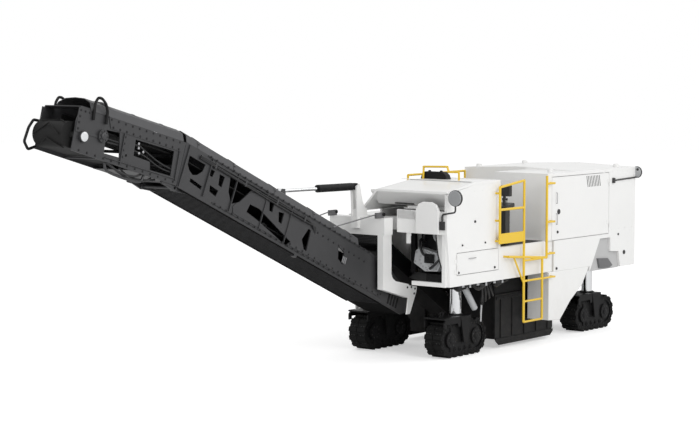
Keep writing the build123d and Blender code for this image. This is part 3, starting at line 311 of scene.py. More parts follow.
def new_object(name, mesh):
    """Object linked to the scene."""
    made = bpy.data.objects.new(name, mesh)
    bpy.context.scene.collection.objects.link(made)
    return made


def round_edges(thing, width, angle):
    """Bevel the edges sharper than an angle, given in degrees."""
    bevel = thing.modifiers.new("edge", "BEVEL")
    bevel.width = width
    bevel.segments = 2
    bevel.limit_method = "ANGLE"
    bevel.angle_limit = math.radians(angle)
    bake(thing)


def stand_for(thing, node):
    """Let a piece replace a solid by hiding the solid."""
    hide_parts(node)
    return thing


def soften(node, width):
    """Bevelled copy of a solid, which replaces it."""
    mesh = nodes[node].data.copy()
    work = bmesh.new()
    work.from_mesh(mesh)
    bmesh.ops.remove_doubles(work, verts=work.verts, dist=1e-5)
    bmesh.ops.dissolve_limit(work, angle_limit=math.radians(1.0), verts=work.verts, edges=work.edges)
    work.to_mesh(mesh)
    work.free()
    thing = new_object(node + "_skin", mesh)
    thing.data.materials.clear()
    thing.data.materials.append(slot_paint[node_slot[node]])
    round_edges(thing, width, 35.0)
    thing.data.shade_flat()
    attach(thing, node_body[node])
    return stand_for(thing, node)


# %% Round every solid
soft_width = {"front_body": 0.012, "rear_body": 0.012, "engine_lid": 0.012, "front_beam": 0.01,
              "platform": 0.008, "main_frame": 0.008, "right_cover": 0.01, "access_door": 0.005,
              "rear_left_door": 0.005, "rear_door": 0.005, "slew_yoke": 0.008, "drum_housing": 0.006,
              "conveyor_lower_cover": 0.004, "rear_tank": 0.01, "step_box": 0.004, "moldboard": 0.004,
              "side_plate_left": 0.005, "boot": 0.004}
for name, width in soft_width.items():
    soften(name, width)
print("softened", len(soft_width), "solids")

# %% [markdown]
# ## Small parts
# Small parts are drawn as tables of plain shapes in machine metres. Each helper returns corners and faces.
# `piece` joins them into one mesh, turns its faces outward, rounds its edges and hangs it on a body. What
# rides on a conveyor is drawn along that conveyor's own axis.


# %% Shape helpers
block_faces = [(0, 1, 3, 2), (4, 6, 7, 5), (0, 4, 5, 1), (2, 3, 7, 6), (0, 2, 6, 4), (1, 5, 7, 3)]


def box(x0, x1, y0, y1, z0, z1):
    """Corners and faces of a block."""
    return [(x, y, z) for x in (x0, x1) for y in (y0, y1) for z in (z0, z1)], block_faces


def prism(axis, outline, low, high):
    """Outline extruded along an axis. The outline's two numbers are the other two axes, in order."""
    count = len(outline)
    place = {"X": lambda a, b, c: (c, a, b), "Y": lambda a, b, c: (a, c, b),
             "Z": lambda a, b, c: (a, b, c)}[axis]
    corners = [place(a, b, c) for c in (low, high) for a, b in outline]
    sides = [(k, (k + 1) % count, count + (k + 1) % count, count + k) for k in range(count)]
    return corners, [tuple(range(count)), tuple(range(count, 2 * count)), *sides]


def around(axis, centre, radius, angle, along=0.0):
    """Point on a circle round an axis through a centre."""
    a, b = radius * math.cos(angle), radius * math.sin(angle)
    offset = {"X": (along, a, b), "Y": (a, along, b), "Z": (a, b, along)}[axis]
    return tuple(c + o for c, o in zip(centre, offset))


def turned(axis, centre, profile, steps=24):
    """Profile of (distance along, radius) pairs spun round an axis through a centre."""
    corners = [around(axis, centre, radius, 2 * math.pi * step / steps, along)
               for along, radius in profile for step in range(steps)]
    faces, last = [], (len(profile) - 1) * steps
    for low in range(0, last, steps):
        for step in range(steps):
            nxt = (step + 1) % steps
            faces.append((low + step, low + nxt, low + steps + nxt, low + steps + step))
    return corners, [*faces, tuple(range(steps)), tuple(range(last, last + steps))]


def rod(axis, centre, low, high, radius, steps):
    """Round bar along an axis, from low to high beyond a centre."""
    return turned(axis, centre, [(low, radius), (high, radius)], steps)


def disc(axis, centre, radius, thickness, steps=24):
    """Disc with a chamfered outer face, starting at the centre and rising along the axis."""
    edge = min(0.2 * abs(thickness), 0.1 * radius) * (1 if thickness > 0 else -1)
    return turned(axis, centre, [(0, radius), (thickness - edge, radius), (thickness, radius - abs(edge))],
                  steps)


def mesh_of(name, shapes, turn):
    """One mesh of many shapes, placed by a matrix, with its faces outward."""
    corners, faces = [], []
    for shape_corners, shape_faces in shapes:
        start = len(corners)
        corners += [turn @ Vector(corner) for corner in shape_corners]
        faces += [tuple(start + index for index in face) for face in shape_faces]
    mesh = bpy.data.meshes.new(name)
    mesh.from_pydata(corners, [], faces)
    work = bmesh.new()
    work.from_mesh(mesh)
    bmesh.ops.recalc_face_normals(work, faces=work.faces)
    work.to_mesh(mesh)
    work.free()
    return mesh


machine_turn = Matrix.Translation(at(0, 0, 0))
own_turn = {"conveyor_lower": lower_turn, "conveyor_upper": upper_turn}


def turn_of(body):
    """Matrix from the numbers that a body's pieces are drawn in to frame places."""
    return own_turn.get(body, machine_turn)


def piece(name, body, shapes, paint, edge=0.0, smooth=False, cuts=()):
    """Finished piece on a body, with openings where there are cuts."""
    thing = new_object(name, mesh_of(name, shapes, turn_of(body)))
    thing.data.materials.append(paint)
    if cuts:
        cutter = new_object(name + "_cuts", mesh_of(name + "_cuts", cuts, turn_of(body)))
        cut = thing.modifiers.new("cuts", "BOOLEAN")
        cut.object, cut.operation, cut.solver, cut.use_self = cutter, "DIFFERENCE", "EXACT", True
        bake(thing)
        bpy.data.objects.remove(cutter)
    if edge:
        round_edges(thing, edge, 40.0)
    if smooth:
        thing.data.shade_smooth()
    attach(thing, body)
    return thing


def drawn(name, node, shapes, edge=0.003, cuts=(), paint=None):
    """Piece that stands for a plainer solid and takes its body and paint."""
    thing = piece(name, node_body[node], shapes, paint or slot_paint[node_slot[node]], edge, cuts=cuts)
    return stand_for(thing, node)


# %% [markdown]
# **Node trees for what repeats.** One tree puts a copy of a shape on every point of a mesh, turned by two
# directions stored on the points. A second sweeps a round section along a path. Each is set by named inputs
# and baked to a plain mesh.


# %% Geometry node helpers
def geometry_tree(name, inputs):
    """Geometry node group with named inputs after the geometry. Returns the tree and its input sockets."""
    tree = bpy.data.node_groups.new(name, "GeometryNodeTree")
    tree.interface.new_socket("Geometry", in_out="INPUT", socket_type="NodeSocketGeometry")
    tree.interface.new_socket("Geometry", in_out="OUTPUT", socket_type="NodeSocketGeometry")
    for label, kind in inputs:
        tree.interface.new_socket(label, in_out="INPUT", socket_type="NodeSocket" + kind)
    return tree, add(tree, "NodeGroupInput").outputs


def finish_tree(tree, source, paint):
    """Realize Instances and Set Material before the output."""
    real = add(tree, "GeometryNodeRealizeInstances", {0: source})
    painted_mesh = add(tree, "GeometryNodeSetMaterial", {"Geometry": real.outputs[0], "Material": paint})
    add(tree, "NodeGroupOutput", {0: painted_mesh.outputs[0]})


def grow(thing, tree, body, values):
    """Run a tree on an object with values for its named inputs, and keep the result on a body."""
    modifier = thing.modifiers.new(tree.name, "NODES")
    modifier.node_group = tree
    for item in tree.interface.items_tree:
        if item.item_type == "SOCKET" and item.in_out == "INPUT" and item.name in values:
            modifier[item.identifier] = values[item.name]
    bake(thing)
    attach(thing, body)
    return thing


# %% Tree: copies on points
def named_vector(tree, name):
    """Vector attribute stored on the points."""
    return add(tree, "GeometryNodeInputNamedAttribute", {"Name": name},
               data_type="FLOAT_VECTOR").outputs["Attribute"]


copy_tree, knob = geometry_tree("copies_on_points",
                                [("Shape", "Object"), ("Random Turn", "Float"), ("Seed", "Int"),
                                 ("Paint", "Material")])
stand = add(copy_tree, "FunctionNodeAlignRotationToVector", {"Vector": named_vector(copy_tree, "out")},
            axis="Z")
swing = add(copy_tree, "FunctionNodeAlignRotationToVector",
            {"Rotation": stand.outputs[0], "Vector": named_vector(copy_tree, "along")}, axis="X",
            pivot_axis="Z")
chance = add(copy_tree, "FunctionNodeRandomValue", {3: knob["Random Turn"], "Seed": knob["Seed"]},
             data_type="FLOAT")
euler = add(copy_tree, "ShaderNodeCombineXYZ", {"Z": chance.outputs[1]})
to_turn = add(copy_tree, "FunctionNodeEulerToRotation", {0: euler.outputs[0]})
spin = add(copy_tree, "FunctionNodeRotateRotation", {0: swing.outputs[0], 1: to_turn.outputs[0]},
           rotation_space="LOCAL")
shape_info = add(copy_tree, "GeometryNodeObjectInfo", {"Object": knob["Shape"]})
instances = add(copy_tree, "GeometryNodeInstanceOnPoints", {
    "Points": knob["Geometry"], "Instance": shape_info.outputs["Geometry"], "Rotation": spin.outputs[0]})
finish_tree(copy_tree, instances.outputs[0], knob["Paint"])


def copies(name, body, rows, shapes, paint, random_turn=0.0, seed=1):
    """One piece with a copy of the shapes at every row of (place, outward, along)."""
    turn = turn_of(body)
    pattern = new_object(name + "_pattern", mesh_of(name + "_pattern", shapes, Matrix.Identity(4)))
    mesh = bpy.data.meshes.new(name)
    mesh.from_pydata([turn @ Vector(place) for place, outward, along in rows], [], [])
    for label, column in (("out", 1), ("along", 2)):
        values = mesh.attributes.new(label, "FLOAT_VECTOR", "POINT")
        for index, row in enumerate(rows):
            values.data[index].vector = turn.to_3x3() @ Vector(row[column])
    settings = {"Shape": pattern, "Random Turn": random_turn, "Seed": seed, "Paint": paint}
    thing = grow(new_object(name, mesh), copy_tree, body, settings)
    bpy.data.objects.remove(pattern)
    return thing


def bolts(name, body, rows, radius, height, paint, seed):
    """Washer and six-sided head at every row, each head turned by chance."""
    shapes = [turned("Z", (0, 0, 0), [(0, radius * 1.5), (height * 0.2, radius * 1.5)], 10),
              turned("Z", (0, 0, 0), [(0, radius), (height * 0.85, radius), (height, radius * 0.85)], 6)]
    return copies(name, body, rows, shapes, paint, 1.0, seed)


def line_of(start, end, count, outward=(0, 1, 0), along=(1, 0, 0)):
    """Rows for `copies`, evenly spaced from a start to an end."""
    start, end = Vector(start), Vector(end)
    return [(start.lerp(end, k / max(count - 1, 1)), outward, along) for k in range(count)]


def lines_of(lines, outward=(0, 1, 0)):
    """Rows for `copies` of several lines, each with its start, end and count."""
    return [row for line in lines for row in line_of(*line, outward)]


def ring_of(axis, centre, radius, count, side=1, start=0.0):
    """Rows for `copies`, evenly spaced on a circle that faces along an axis."""
    outward = tuple(side if name == axis else 0 for name in "XYZ")
    along = (0, 1, 0) if axis == "X" else (1, 0, 0)
    return [(around(axis, centre, radius, 2 * math.pi * (k + start) / count), outward, along)
            for k in range(count)]


# %% Tree: hose along a path
hose_tree, knob = geometry_tree("hose_run", [("Radius", "Float"), ("Sides", "Int"), ("Paint", "Material")])
as_curve = add(hose_tree, "GeometryNodeMeshToCurve", {0: knob["Geometry"]})
rounded = add(hose_tree, "GeometryNodeCurveSplineType", {"Curve": as_curve.outputs[0]},
              spline_type="CATMULL_ROM")
fine = add(hose_tree, "GeometryNodeSetSplineResolution", {0: rounded.outputs[0], "Resolution": 5})
section = add(hose_tree, "GeometryNodeCurvePrimitiveCircle",
              {"Radius": knob["Radius"], "Resolution": knob["Sides"]})
sweep = add(hose_tree, "GeometryNodeCurveToMesh", {
    "Curve": fine.outputs[0], "Profile Curve": section.outputs[0], "Fill Caps": True})
finish_tree(hose_tree, sweep.outputs[0], knob["Paint"])


def hoses(name, body, paths, radius, paint, sides=10, node=None):
    """One piece with a round hose along every path. It may stand for a plainer solid."""
    turn, corners, edges = turn_of(body), [], []
    for path in paths:
        edges += [(len(corners) + k, len(corners) + k + 1) for k in range(len(path) - 1)]
        corners += [turn @ Vector(point) for point in path]
    mesh = bpy.data.meshes.new(name)
    mesh.from_pydata(corners, edges, [])
    thing = grow(new_object(name, mesh), hose_tree, body,
                 {"Radius": radius, "Sides": sides, "Paint": paint})
    thing.data.shade_smooth()
    if node:
        stand_for(thing, node)
    return thing


def bent(corners, reach):
    """Path through corners, each rounded by a short curve."""
    corners = [Vector(corner) for corner in corners]
    path = [corners[0]]
    for before, corner, after in zip(corners, corners[1:], corners[2:]):
        start = corner + (before - corner).normalized() * reach
        end = corner + (after - corner).normalized() * reach
        for t in (0.0, 0.25, 0.5, 0.75, 1.0):
            path.append(start * (1 - t) ** 2 + corner * 2 * t * (1 - t) + end * t * t)
    return [*path, corners[-1]]


print("node trees:", copy_tree.name, hose_tree.name)

# %% [markdown]
# ## Conveyor frames
# The side plates carry a doubler and many odd openings, so the inside shows. Each frame is drawn whole along
# its own axis and stands for the plainer solid. The knee is mitred: both ends lean by half the bend. One
# Boolean modifier cuts all openings, since a face with many holes is hard to write corner by corner.

# %% Lower conveyor frame
plate, doubler, side_plate = 0.32, 0.328, 0.012      # outer faces of plate and doubler, thickness
between = 0.319                                      # half length of what joins the two side plates
knee_lean = math.tan(math.radians(4.65))
lower_end = {w: 5.027 + w * knee_lean for w in (0.295, -0.295)}
lower_outline = [(-0.318, -0.223), (-0.198, -0.295), (lower_end[-0.295], -0.295), (lower_end[0.295], 0.295),
                 (0.82, 0.295), (0.42, 0.275), (-0.19, 0.06), (-0.288, -0.06)]
doubler_outline = [(0.35, -0.23), (0.35, 0.1), (0.8, 0.14), (1.92, 0.16), (2.8, 0.12), (3.3, 0.205),
                   (3.51, 0.21), (3.75, 0.07), (3.9, -0.15), (3.86, -0.23)]
lower_openings = (
    ((3.62, 0.19), (4.09, 0.19), (4.05, 0.0), (3.94, -0.13), (3.8, -0.05)),
    ((4.6, 0.16), (4.93, 0.16), (4.92, 0.04), (4.86, -0.02), (4.78, -0.05), (4.7, -0.02), (4.62, 0.06)),
    ((4.19, 0.15), (4.3, 0.15), (4.27, 0.01), (4.2, 0.0)),
    ((4.4, 0.15), (4.5, 0.15), (4.47, 0.06), (4.42, 0.06)),
    ((4.56, -0.12), (4.8, -0.1), (4.8, -0.15), (4.56, -0.17)),
    ((4.24, -0.06), (4.42, -0.05), (4.4, -0.13), (4.26, -0.15)),
    ((2.6, -0.175), (3.39, 0.01), (3.59, 0.0), (3.62, -0.12), (3.4, -0.14), (2.68, -0.255)),
    ((3.13, 0.19), (3.23, 0.17), (3.19, 0.06), (3.12, 0.06)),
    ((2.88, 0.135), (3.0, 0.115), (2.95, -0.01), (2.88, -0.02)),
    ((2.25, 0.12), (2.31, 0.125), (2.39, -0.06), (2.3, -0.17), (2.23, -0.18)),
    ((1.43, 0.09), (1.59, 0.13), (1.53, -0.04), (1.4, -0.085)),
)
fold_w = -0.318
fold_u = knee_u + fold_w * knee_lean


def fold_arms(u, inward, low, high):
    """Pair of hinge lugs at the fold under the knee."""
    arms, far = [], u + inward * 0.26
    lug = [(u, fold_w - 0.04), (u, fold_w + 0.024), (far, fold_w + 0.05), (far, fold_w + 0.02)]
    for side in (1, -1):
        arms += [rod("Y", (u, 0, fold_w), side * low, side * high, 0.04, 24),
                 prism("Y", lug, side * low, side * high)]
    return arms


lower_frame = fold_arms(fold_u, -1, 0.24, 0.266)
for side in (1, -1):
    lower_frame += [prism("Y", lower_outline, side * (plate - side_plate), side * plate),
                    prism("Y", doubler_outline, side * (plate - 0.002), side * doubler),
                    box(-0.198, fold_u - 0.07, side * (plate - 0.06), side * plate, -0.295, -0.279),
                    box(1.0, 4.3, side * (plate - 0.001), side * (plate + 0.01), -0.253, -0.241),
                    box(0.82, 4.6, side * (plate - 0.001), side * (plate + 0.01), 0.281, 0.295),
                    rod("Y", (0, 0, 0), side * (plate - 0.03), side * plate, 0.08, 28)]
lower_frame += [box(2.39, 2.45, plate - 0.06, plate, -0.33, -0.294),
                box(0.3, fold_u - 0.07, -between, between, -0.295, -0.287),
                rod("Y", (fold_u, 0, fold_w), -0.3, 0.3, 0.018, 16)]
lower_frame += [rod("Y", (u, 0, -0.02), -between, between, 0.02, 16) for u in (0.7, 2.43, 4.12)]
lower_cuts = [prism("Y", corners, plate - side_plate - 0.001, doubler + 0.02) for corners in lower_openings]
drawn("lower_frame_plates", "conveyor_lower_frame", lower_frame, 0.002, lower_cuts)
print("openings of the lower frame:", len(lower_openings))

# %% Upper conveyor frame
nose_u = 1.925
upper_base = 0.2863
upper_outline = [(0.003 + 0.288 * knee_lean, -0.288), (nose_u, -0.25), (nose_u, 0.12),
                 (nose_u - 0.045, 0.3), (nose_u - 0.2, 0.3), (nose_u - 0.2, 0.285),
                 (0.003 - 0.285 * knee_lean, 0.285)]
upper_chord = [(0.04, 0.15), (1.34, 0.15), (1.4, 0.284), (0.06, 0.284)]
head_plate = [(1.44, -0.01), (1.915, -0.01), (1.915, 0.284), (1.64, 0.284), (1.6, 0.02), (1.44, 0.02)]
upper_openings = (
    ((1.11, -0.16), (1.38, -0.165), (1.4, 0.12), (1.17, 0.14)),
    ((0.17, 0.13), (0.88, 0.12), (0.87, -0.085), (0.57, -0.095), (0.545, -0.195), (0.16, -0.19)),
)
upper_cuts = [prism("Y", corners, plate - side_plate - 0.001, doubler + 0.02) for corners in upper_openings]
right_openings = (
    ((0.16, -0.19), (0.7, -0.2), (0.7, -0.1), (0.16, -0.1)),
    ((0.44, -0.06), (0.84, -0.07), (0.84, 0.035), (0.44, 0.03)),
    ((0.9, -0.14), (1.22, -0.14), (1.22, -0.07), (0.9, -0.07)),
)
upper_cuts += [prism("Y", corners, -plate - 0.02, -plate + side_plate + 0.001)
               for corners in right_openings]
port_places = ((1.0, -0.11), (0.8, 0.05), (0.79, -0.01), (0.77, -0.07), (0.69, -0.04), (0.72, 0.03))
upper_cuts += [rod("Y", (u, 0, w), plate - 0.02, doubler + 0.02, 0.018, 12) for u, w in port_places]
fold_here = -fold_w * knee_lean
upper_frame = fold_arms(fold_here, 1, 0.274, 0.3)
for side in (1, -1):
    upper_frame += [prism("Y", upper_outline, side * (plate - side_plate), side * plate),
                    prism("Y", upper_chord, side * (plate - 0.002), side * doubler),
                    prism("Y", head_plate, side * (plate - 0.002), side * doubler),
                    box(fold_here + 0.07, fold_here + 0.26, side * 0.299, side * 0.309, fold_w,
                        fold_w + 0.044)]
upper_frame += [rod("Y", (1.46, 0, 0.03), plate - 0.001, 0.35, 0.08, 28),
                rod("Y", (1.78, 0, -0.05), plate - 0.001, 0.35, 0.07, 28),
                box(fold_here + 0.07, 0.9, -between, between, -0.274, -0.266)]
upper_frame += [rod("Y", (u, 0, -0.055), -between, between, 0.02, 16) for u in (0.11, 0.94, 1.5)]
upper_frame += [rod("Y", (u, 0, -0.242), -between, between, 0.012, 12) for u in (0.7, 1.4)]
upper_frame.append(box(nose_u - 0.2, nose_u - 0.05, -between, between, 0.299, 0.309))
drawn("upper_frame_plates", "conveyor_upper_frame", upper_frame, 0.002, upper_cuts)
step_path = [(u, 0.28, w) for u, w in ((1.3, -0.27), (1.21, -0.365), (0.69, -0.378), (0.6, -0.275))]
hoses("step_strut", "conveyor_upper", [step_path], 0.018, conveyor_paint)
bracket_path = ((0, 0.092), (0.105, 0.085), (0.16, -0.02), (0.192, -0.205), (0.11, -0.285), (0, -0.226))
bracket = [(1.9453 + u, -0.286, w) for u, w in bracket_path]
hoop = ((1.45, 0.18), (1.46, 0.33), (1.51, 0.42), (1.59, 0.468), (1.655, 0.464), (1.69, 0.39),
        (1.672, 0.18))
hoops = [bent([(u, side * 0.3455, w) for u, w in hoop], 0.03) for side in (1, -1)]
hoses("head_hoops", "conveyor_upper", [*hoops, bent(bracket, 0.025)], 0.018, frame_black, node="head_guard")
print("conveyor frames drawn")

# %% [markdown]
# ## Tracks
# A track is a ring of equal shoes: one shoe is drawn, and the tree puts a copy at every step of the loop. The
# loop is two straight runs and two half circles, so each place follows from the way gone round it.

# %% Track loop by distance
track_flat, track_radius, track_centre_z = 0.63, 0.27, 0.27
track_length = 2 * track_flat + 2 * math.pi * track_radius
shoe_count = 20
pitch = track_length / shoe_count
legs = {"front_left": (0.0, 0.7), "front_right": (0.0, -0.7), "rear_left": (-3.66, 0.7),
        "rear_right": (-3.66, -0.7)}


def loop_row(distance, radius):
    """Place, outward and along directions (x, z) on the track loop at an end radius."""
    half, turn = track_flat / 2, math.pi * track_radius
    distance %= track_length
    if distance < track_flat:
        return (-half + distance, -radius), (0, -1), (1, 0)
    distance -= track_flat
    if distance < turn:
        angle = distance / track_radius - math.pi / 2
        c, s = math.cos(angle), math.sin(angle)
        return (half + radius * c, radius * s), (c, s), (-s, c)
    distance -= turn
    if distance < track_flat:
        return (half - distance, radius), (0, 1), (-1, 0)
    angle = (distance - track_flat) / track_radius + math.pi / 2
    c, s = math.cos(angle), math.sin(angle)
    return (-half + radius * c, radius * s), (c, s), (-s, c)


def loop_places(leg, step, radius, across):
    """Row for `copies` at a step round the loop of one leg."""
    (x, z), out, along = loop_row(step * pitch, radius)
    return (leg[0] + x, leg[1] + across, track_centre_z + z), (out[0], 0, out[1]), (along[0], 0, along[1])


# %% Shoes, carriers and columns
shoe_outline = [(-0.07, -0.026), (0.07, -0.026), (0.07, -0.002), (0.04, 0.0), (0.03, 0.0255),
                (-0.03, 0.0255), (-0.04, 0.0), (-0.07, -0.002)]
shoe_shape = [prism("Y", shoe_outline, low, high) for low, high in ((-0.15, -0.006), (0.006, 0.15))]
shoe_shape.append(box(-0.055, 0.055, -0.008, 0.008, -0.026, -0.004))
leg_socket = ((0.548, 0.117), (0.612, 0.117), (0.62, 0.11), (0.62, 0.0853), (0.5597, 0.0853))
cheek_outline = [(-0.13, 0.6), (0.13, 0.6), (0.05, 0.21), (-0.05, 0.21)]
flap_outline = [(0.129, 0.6), (0.48, 0.6), (0.54, 0.54), (0.54, 0.455), (0.48, 0.455), (0.48, 0.505),
                (0.19, 0.505), (0.19, 0.455), (0.129, 0.455)]
for corner, leg in legs.items():
    x, y = leg
    rows = [loop_places(leg, shoe + 0.5, 0.242, 0.0) for shoe in range(shoe_count)]
    stand_for(copies(f"track_shoes_{corner}", node_body["track_" + corner], rows, shoe_shape, track_rubber),
              "track_" + corner)
    carrier = [box(x - 0.315, x + 0.315, y - 0.132, y + 0.132, 0.062, 0.478),
               rod("Y", (x, y, track_centre_z), -0.19, 0.19, 0.05, 24),
               box(x - 0.13, x + 0.13, y - 0.19, y + 0.19, 0.548, 0.6),
               turned("Z", (x, y, 0), leg_socket, 32),
               box(x + 0.129, x + 0.54, y - 0.186, y + 0.186, 0.578, 0.6),
               box(x + 0.319, x + 0.411, y - 0.011, y + 0.011, 0.599, 0.672)]
    for end in (-0.315, 0.315):
        carrier += [rod("Y", (x + end, y, track_centre_z), -0.12, 0.12, 0.2155, 40),
                    rod("Y", (x + end, y, track_centre_z), -0.158, 0.158, 0.12, 32)]
    for side in (1, -1):
        carrier += [prism("Y", [(x + a, b) for a, b in cheek_outline], y + side * 0.164, y + side * 0.19),
                    prism("Y", [(x + a, b) for a, b in flap_outline], y + side * 0.164, y + side * 0.186)]
    lug_hole = [rod("Y", (x + 0.365, y, 0.64), -0.03, 0.03, 0.02, 16)]
    drawn(f"track_carrier_{corner}", "track_frame_" + corner, carrier, edge=0.003, cuts=lug_hole)
columns = [rod("Z", (x, y, 0), 0.5603, 1.44, 0.085, 40) for x, y in legs.values()]
drawn("chrome_columns", "leg_columns", columns, edge=0.002)
print("tracks drawn:", shoe_count * len(legs), "shoes")

# %% [markdown]
# **What is bolted to a track.** Links run inside the shoes on both sides, every shoe has four pad bolts, and
# caps close the small rollers and the hubs.

# %% Links, pad bolts, roller caps and hub bolts
link_outline = [(-0.034, -0.012), (-0.026, -0.02), (0.026, -0.02), (0.034, -0.012), (0.034, 0.012),
                (0.026, 0.02), (-0.026, 0.02), (-0.034, 0.012)]
link_shape = [prism("Z", link_outline, 0, 0.01), disc("Z", (-0.019, 0, 0.009), 0.011, 0.006, 8)]
for corner, leg in legs.items():
    x, y = leg
    body = node_body["track_" + corner]
    links, pad_bolts, hub_bolts, caps = [], [], [], []
    for step in range(2 * shoe_count):
        place, out, along = loop_places(leg, step / 2, 0.2, 0.0)
        for side in (1, -1):
            links.append(((place[0], y + side * 0.1325, place[2]), (0, side, 0), along))
    for shoe in range(shoe_count):
        for across in (-0.11, -0.06, 0.06, 0.11):
            pad_bolts.append(loop_places(leg, shoe + 0.87, 0.241, across))
    for hub_x in (-track_flat / 2, track_flat / 2):
        for side in (1, -1):
            hub_bolts += ring_of("Y", (x + hub_x, y + side * 0.158, track_centre_z), 0.085, 8, side, 0.5)
            caps.append(turned("Y", (x + hub_x, y, track_centre_z),
                               [(side * 0.15, 0.058), (side * 0.164, 0.053), (side * 0.17, 0.025)], 20))
    copies(f"track_links_{corner}", body, links, link_shape, carrier_black)
    bolts(f"pad_bolts_{corner}", body, pad_bolts, 0.011, 0.007, dark_steel, 11)
    bolts(f"hub_bolts_{corner}", body, hub_bolts, 0.009, 0.008, dark_steel, 12)
    for side in (1, -1):
        face = y + side * 0.132
        for roller_x in (-0.2, -0.067, 0.067, 0.2):
            caps += [disc("Y", (x + roller_x, face - side * 0.004, 0.115), 0.04, side * 0.016, 20),
                     disc("Y", (x + roller_x, face, 0.115), 0.018, side * 0.022, 12)]
        for low, high in ((0.2, 0.215), (0.325, 0.34)):
            caps.append(box(x - 0.19, x + 0.19, face - 0.002, face + side * 0.008, low, high))
    piece(f"roller_caps_{corner}", body, caps, carrier_black, edge=0.002)
print("tracks dressed:", len(legs))

# %% [markdown]
# ## Front of the machine
# The open front shows the engine's front, the pump on its case, and a hooded cover over the lintel. The
# solids carry plainer shapes, so what differs is drawn here.

# %% Engine, pump and engine hoses
crank_case = ((0.47, 1.47), (0.47, 1.7), (0.56, 1.8), (0.98, 1.8), (1.05, 1.7), (1.05, 1.47))
block_shapes = [box(-0.28, 0.5, 0.44, 1.08, 1.46, 2.08), box(0.15, 0.5, 0.44, 1.08, frame_top, 1.461),
                prism("X", crank_case, 0.499, 0.53)]
drawn("engine_block", "engine", block_shapes, edge=0.008, paint=frame_black)
case_outline = [(0.42, 1.4), (0.45, 1.58), (0.52, 1.63), (0.86, 1.56), (0.92, 1.45), (0.84, 1.3),
                (0.62, 1.29)]
filter_end = ((0.5, 0.06), (0.56, 0.095), (0.585, 0.095), (0.585, 0.07), (0.575, 0.065))
case = [prism("X", case_outline, 0.529, 0.66),
        turned("X", (0, 0.66, 1.455), [(0.655, 0.13), (0.69, 0.122)], 28),
        turned("X", (0, 0.8, 1.81), filter_end, 28)]
piece("flywheel_case", "chassis", case, casting_grey, edge=0.008)
ports = [box(0.688, 0.728, 0.655, 0.805, 1.42, 1.55),
         turned("X", (0, 0.7, 1.485), [(0.727, 0.03), (0.74, 0.026)], 16)]
piece("pump_port", "chassis", ports, frame_black, edge=0.004)
case_bolts = ring_of("X", (0.69, 0.66, 1.455), 0.105, 12)
case_rim = ((0.45, 1.43), (0.47, 1.56), (0.6, 1.6), (0.75, 1.575), (0.84, 1.545), (0.88, 1.46),
            (0.82, 1.33), (0.66, 1.31))
case_bolts += [((0.66, y, z), (1, 0, 0), (0, 1, 0)) for y, z in case_rim]
bolts("case_bolts", "chassis", case_bolts, 0.009, 0.008, bolt_steel, 31)
engine_hoses = [
    [(0.52, 0.55, 1.72), (0.62, 0.52, 1.74), (0.7, 0.56, 1.66), (0.72, 0.62, 1.56), (0.715, 0.66, 1.53)],
    [(0.52, 0.98, 1.6), (0.66, 0.97, 1.56), (0.72, 0.9, 1.46), (0.74, 0.82, 1.38), (0.7, 0.74, 1.34)],
    [(0.51, 0.62, 1.95), (0.6, 0.6, 1.9), (0.62, 0.58, 1.8), (0.58, 0.55, 1.74)],
    [(0.51, 0.92, 1.98), (0.64, 0.94, 1.94), (0.67, 0.98, 1.78), (0.64, 1.0, 1.64), (0.54, 1.0, 1.56)],
]
hoses("engine_hoses", "chassis", engine_hoses, 0.019, hose_rubber)
print("engine hoses:", len(engine_hoses))

# %% Dome, rails and console
dome_outline = [(0.104, roof_top), (0.13, 2.655), (0.18, 2.695), (0.5, 2.695), (0.555, 2.65),
                (0.58, roof_top)]
knob_profile = ((2.69, 0.022), (2.708, 0.022), (2.715, 0.015))
dome = [prism("X", dome_outline, -0.045, 0.07),
        *[turned("Z", (0.0125, y, 0), knob_profile, 16) for y in (0.23, 0.44)]]
drawn("filter_dome", "exhaust_hood", dome, edge=0.01)
rail_path = [(0.1, 0.82, roof_top), (0.1, 0.82, 2.706), (0.1, 0.64, 2.702), (0.1, 0.612, 2.779),
             (0.1, 0.185, 2.767), (0.1, 0.175, roof_top)]
hoses("roof_grab_rail", "engine_lid", [bent(rail_path, 0.022)], 0.016, rail_yellow, node="roof_rails")
rail_y, rail_top = -0.84, 2.56
right_runs = [[(-0.89, rail_y, z), (-2.42, rail_y, z)] for z in (2.13, rail_top)]
right_runs += [[(x, rail_y, deck_top), (x, rail_y, rail_top)] for x in (-0.89, -1.655, -2.42)]
hoses("right_guard_rail", "chassis", right_runs, 0.018, rail_yellow, node="right_rail")
console_shapes = [box(-0.82, -0.7, 0.98, 1.1, deck_top, 2.17),
                  prism("Y", [(-0.89, 2.16), (-0.67, 2.13), (-0.66, 2.17), (-0.88, 2.22)], 0.8, 1.14),
                  rod("Z", (-0.76, 1.04, 0), 2.16, 2.33, 0.022, 16),
                  box(-0.8, -0.73, 0.93, 1.15, 2.32, 2.48), box(-0.812, -0.798, 0.95, 1.13, 2.34, 2.46)]
drawn("console_shell", "console", console_shapes, edge=0.008)
lever = [(2.18, 0.005), (2.255, 0.005), (2.26, 0.014), (2.285, 0.014), (2.292, 0.006)]
levers = [turned("Z", (-0.78, 0.86 + 0.07 * k, 0), lever, 12) for k in range(4)]
piece("console_levers", "chassis", levers, black_plastic, smooth=True)
print("front dressed")

# %% [markdown]
# **Covers and panels.** Folded sheet closes the front: a pod, a panel beside the engine and a fascia on the
# lid. A piece of sheet is an outline with a thickness, so each is a prism, and the Bevel modifier gives the
# folded edge.

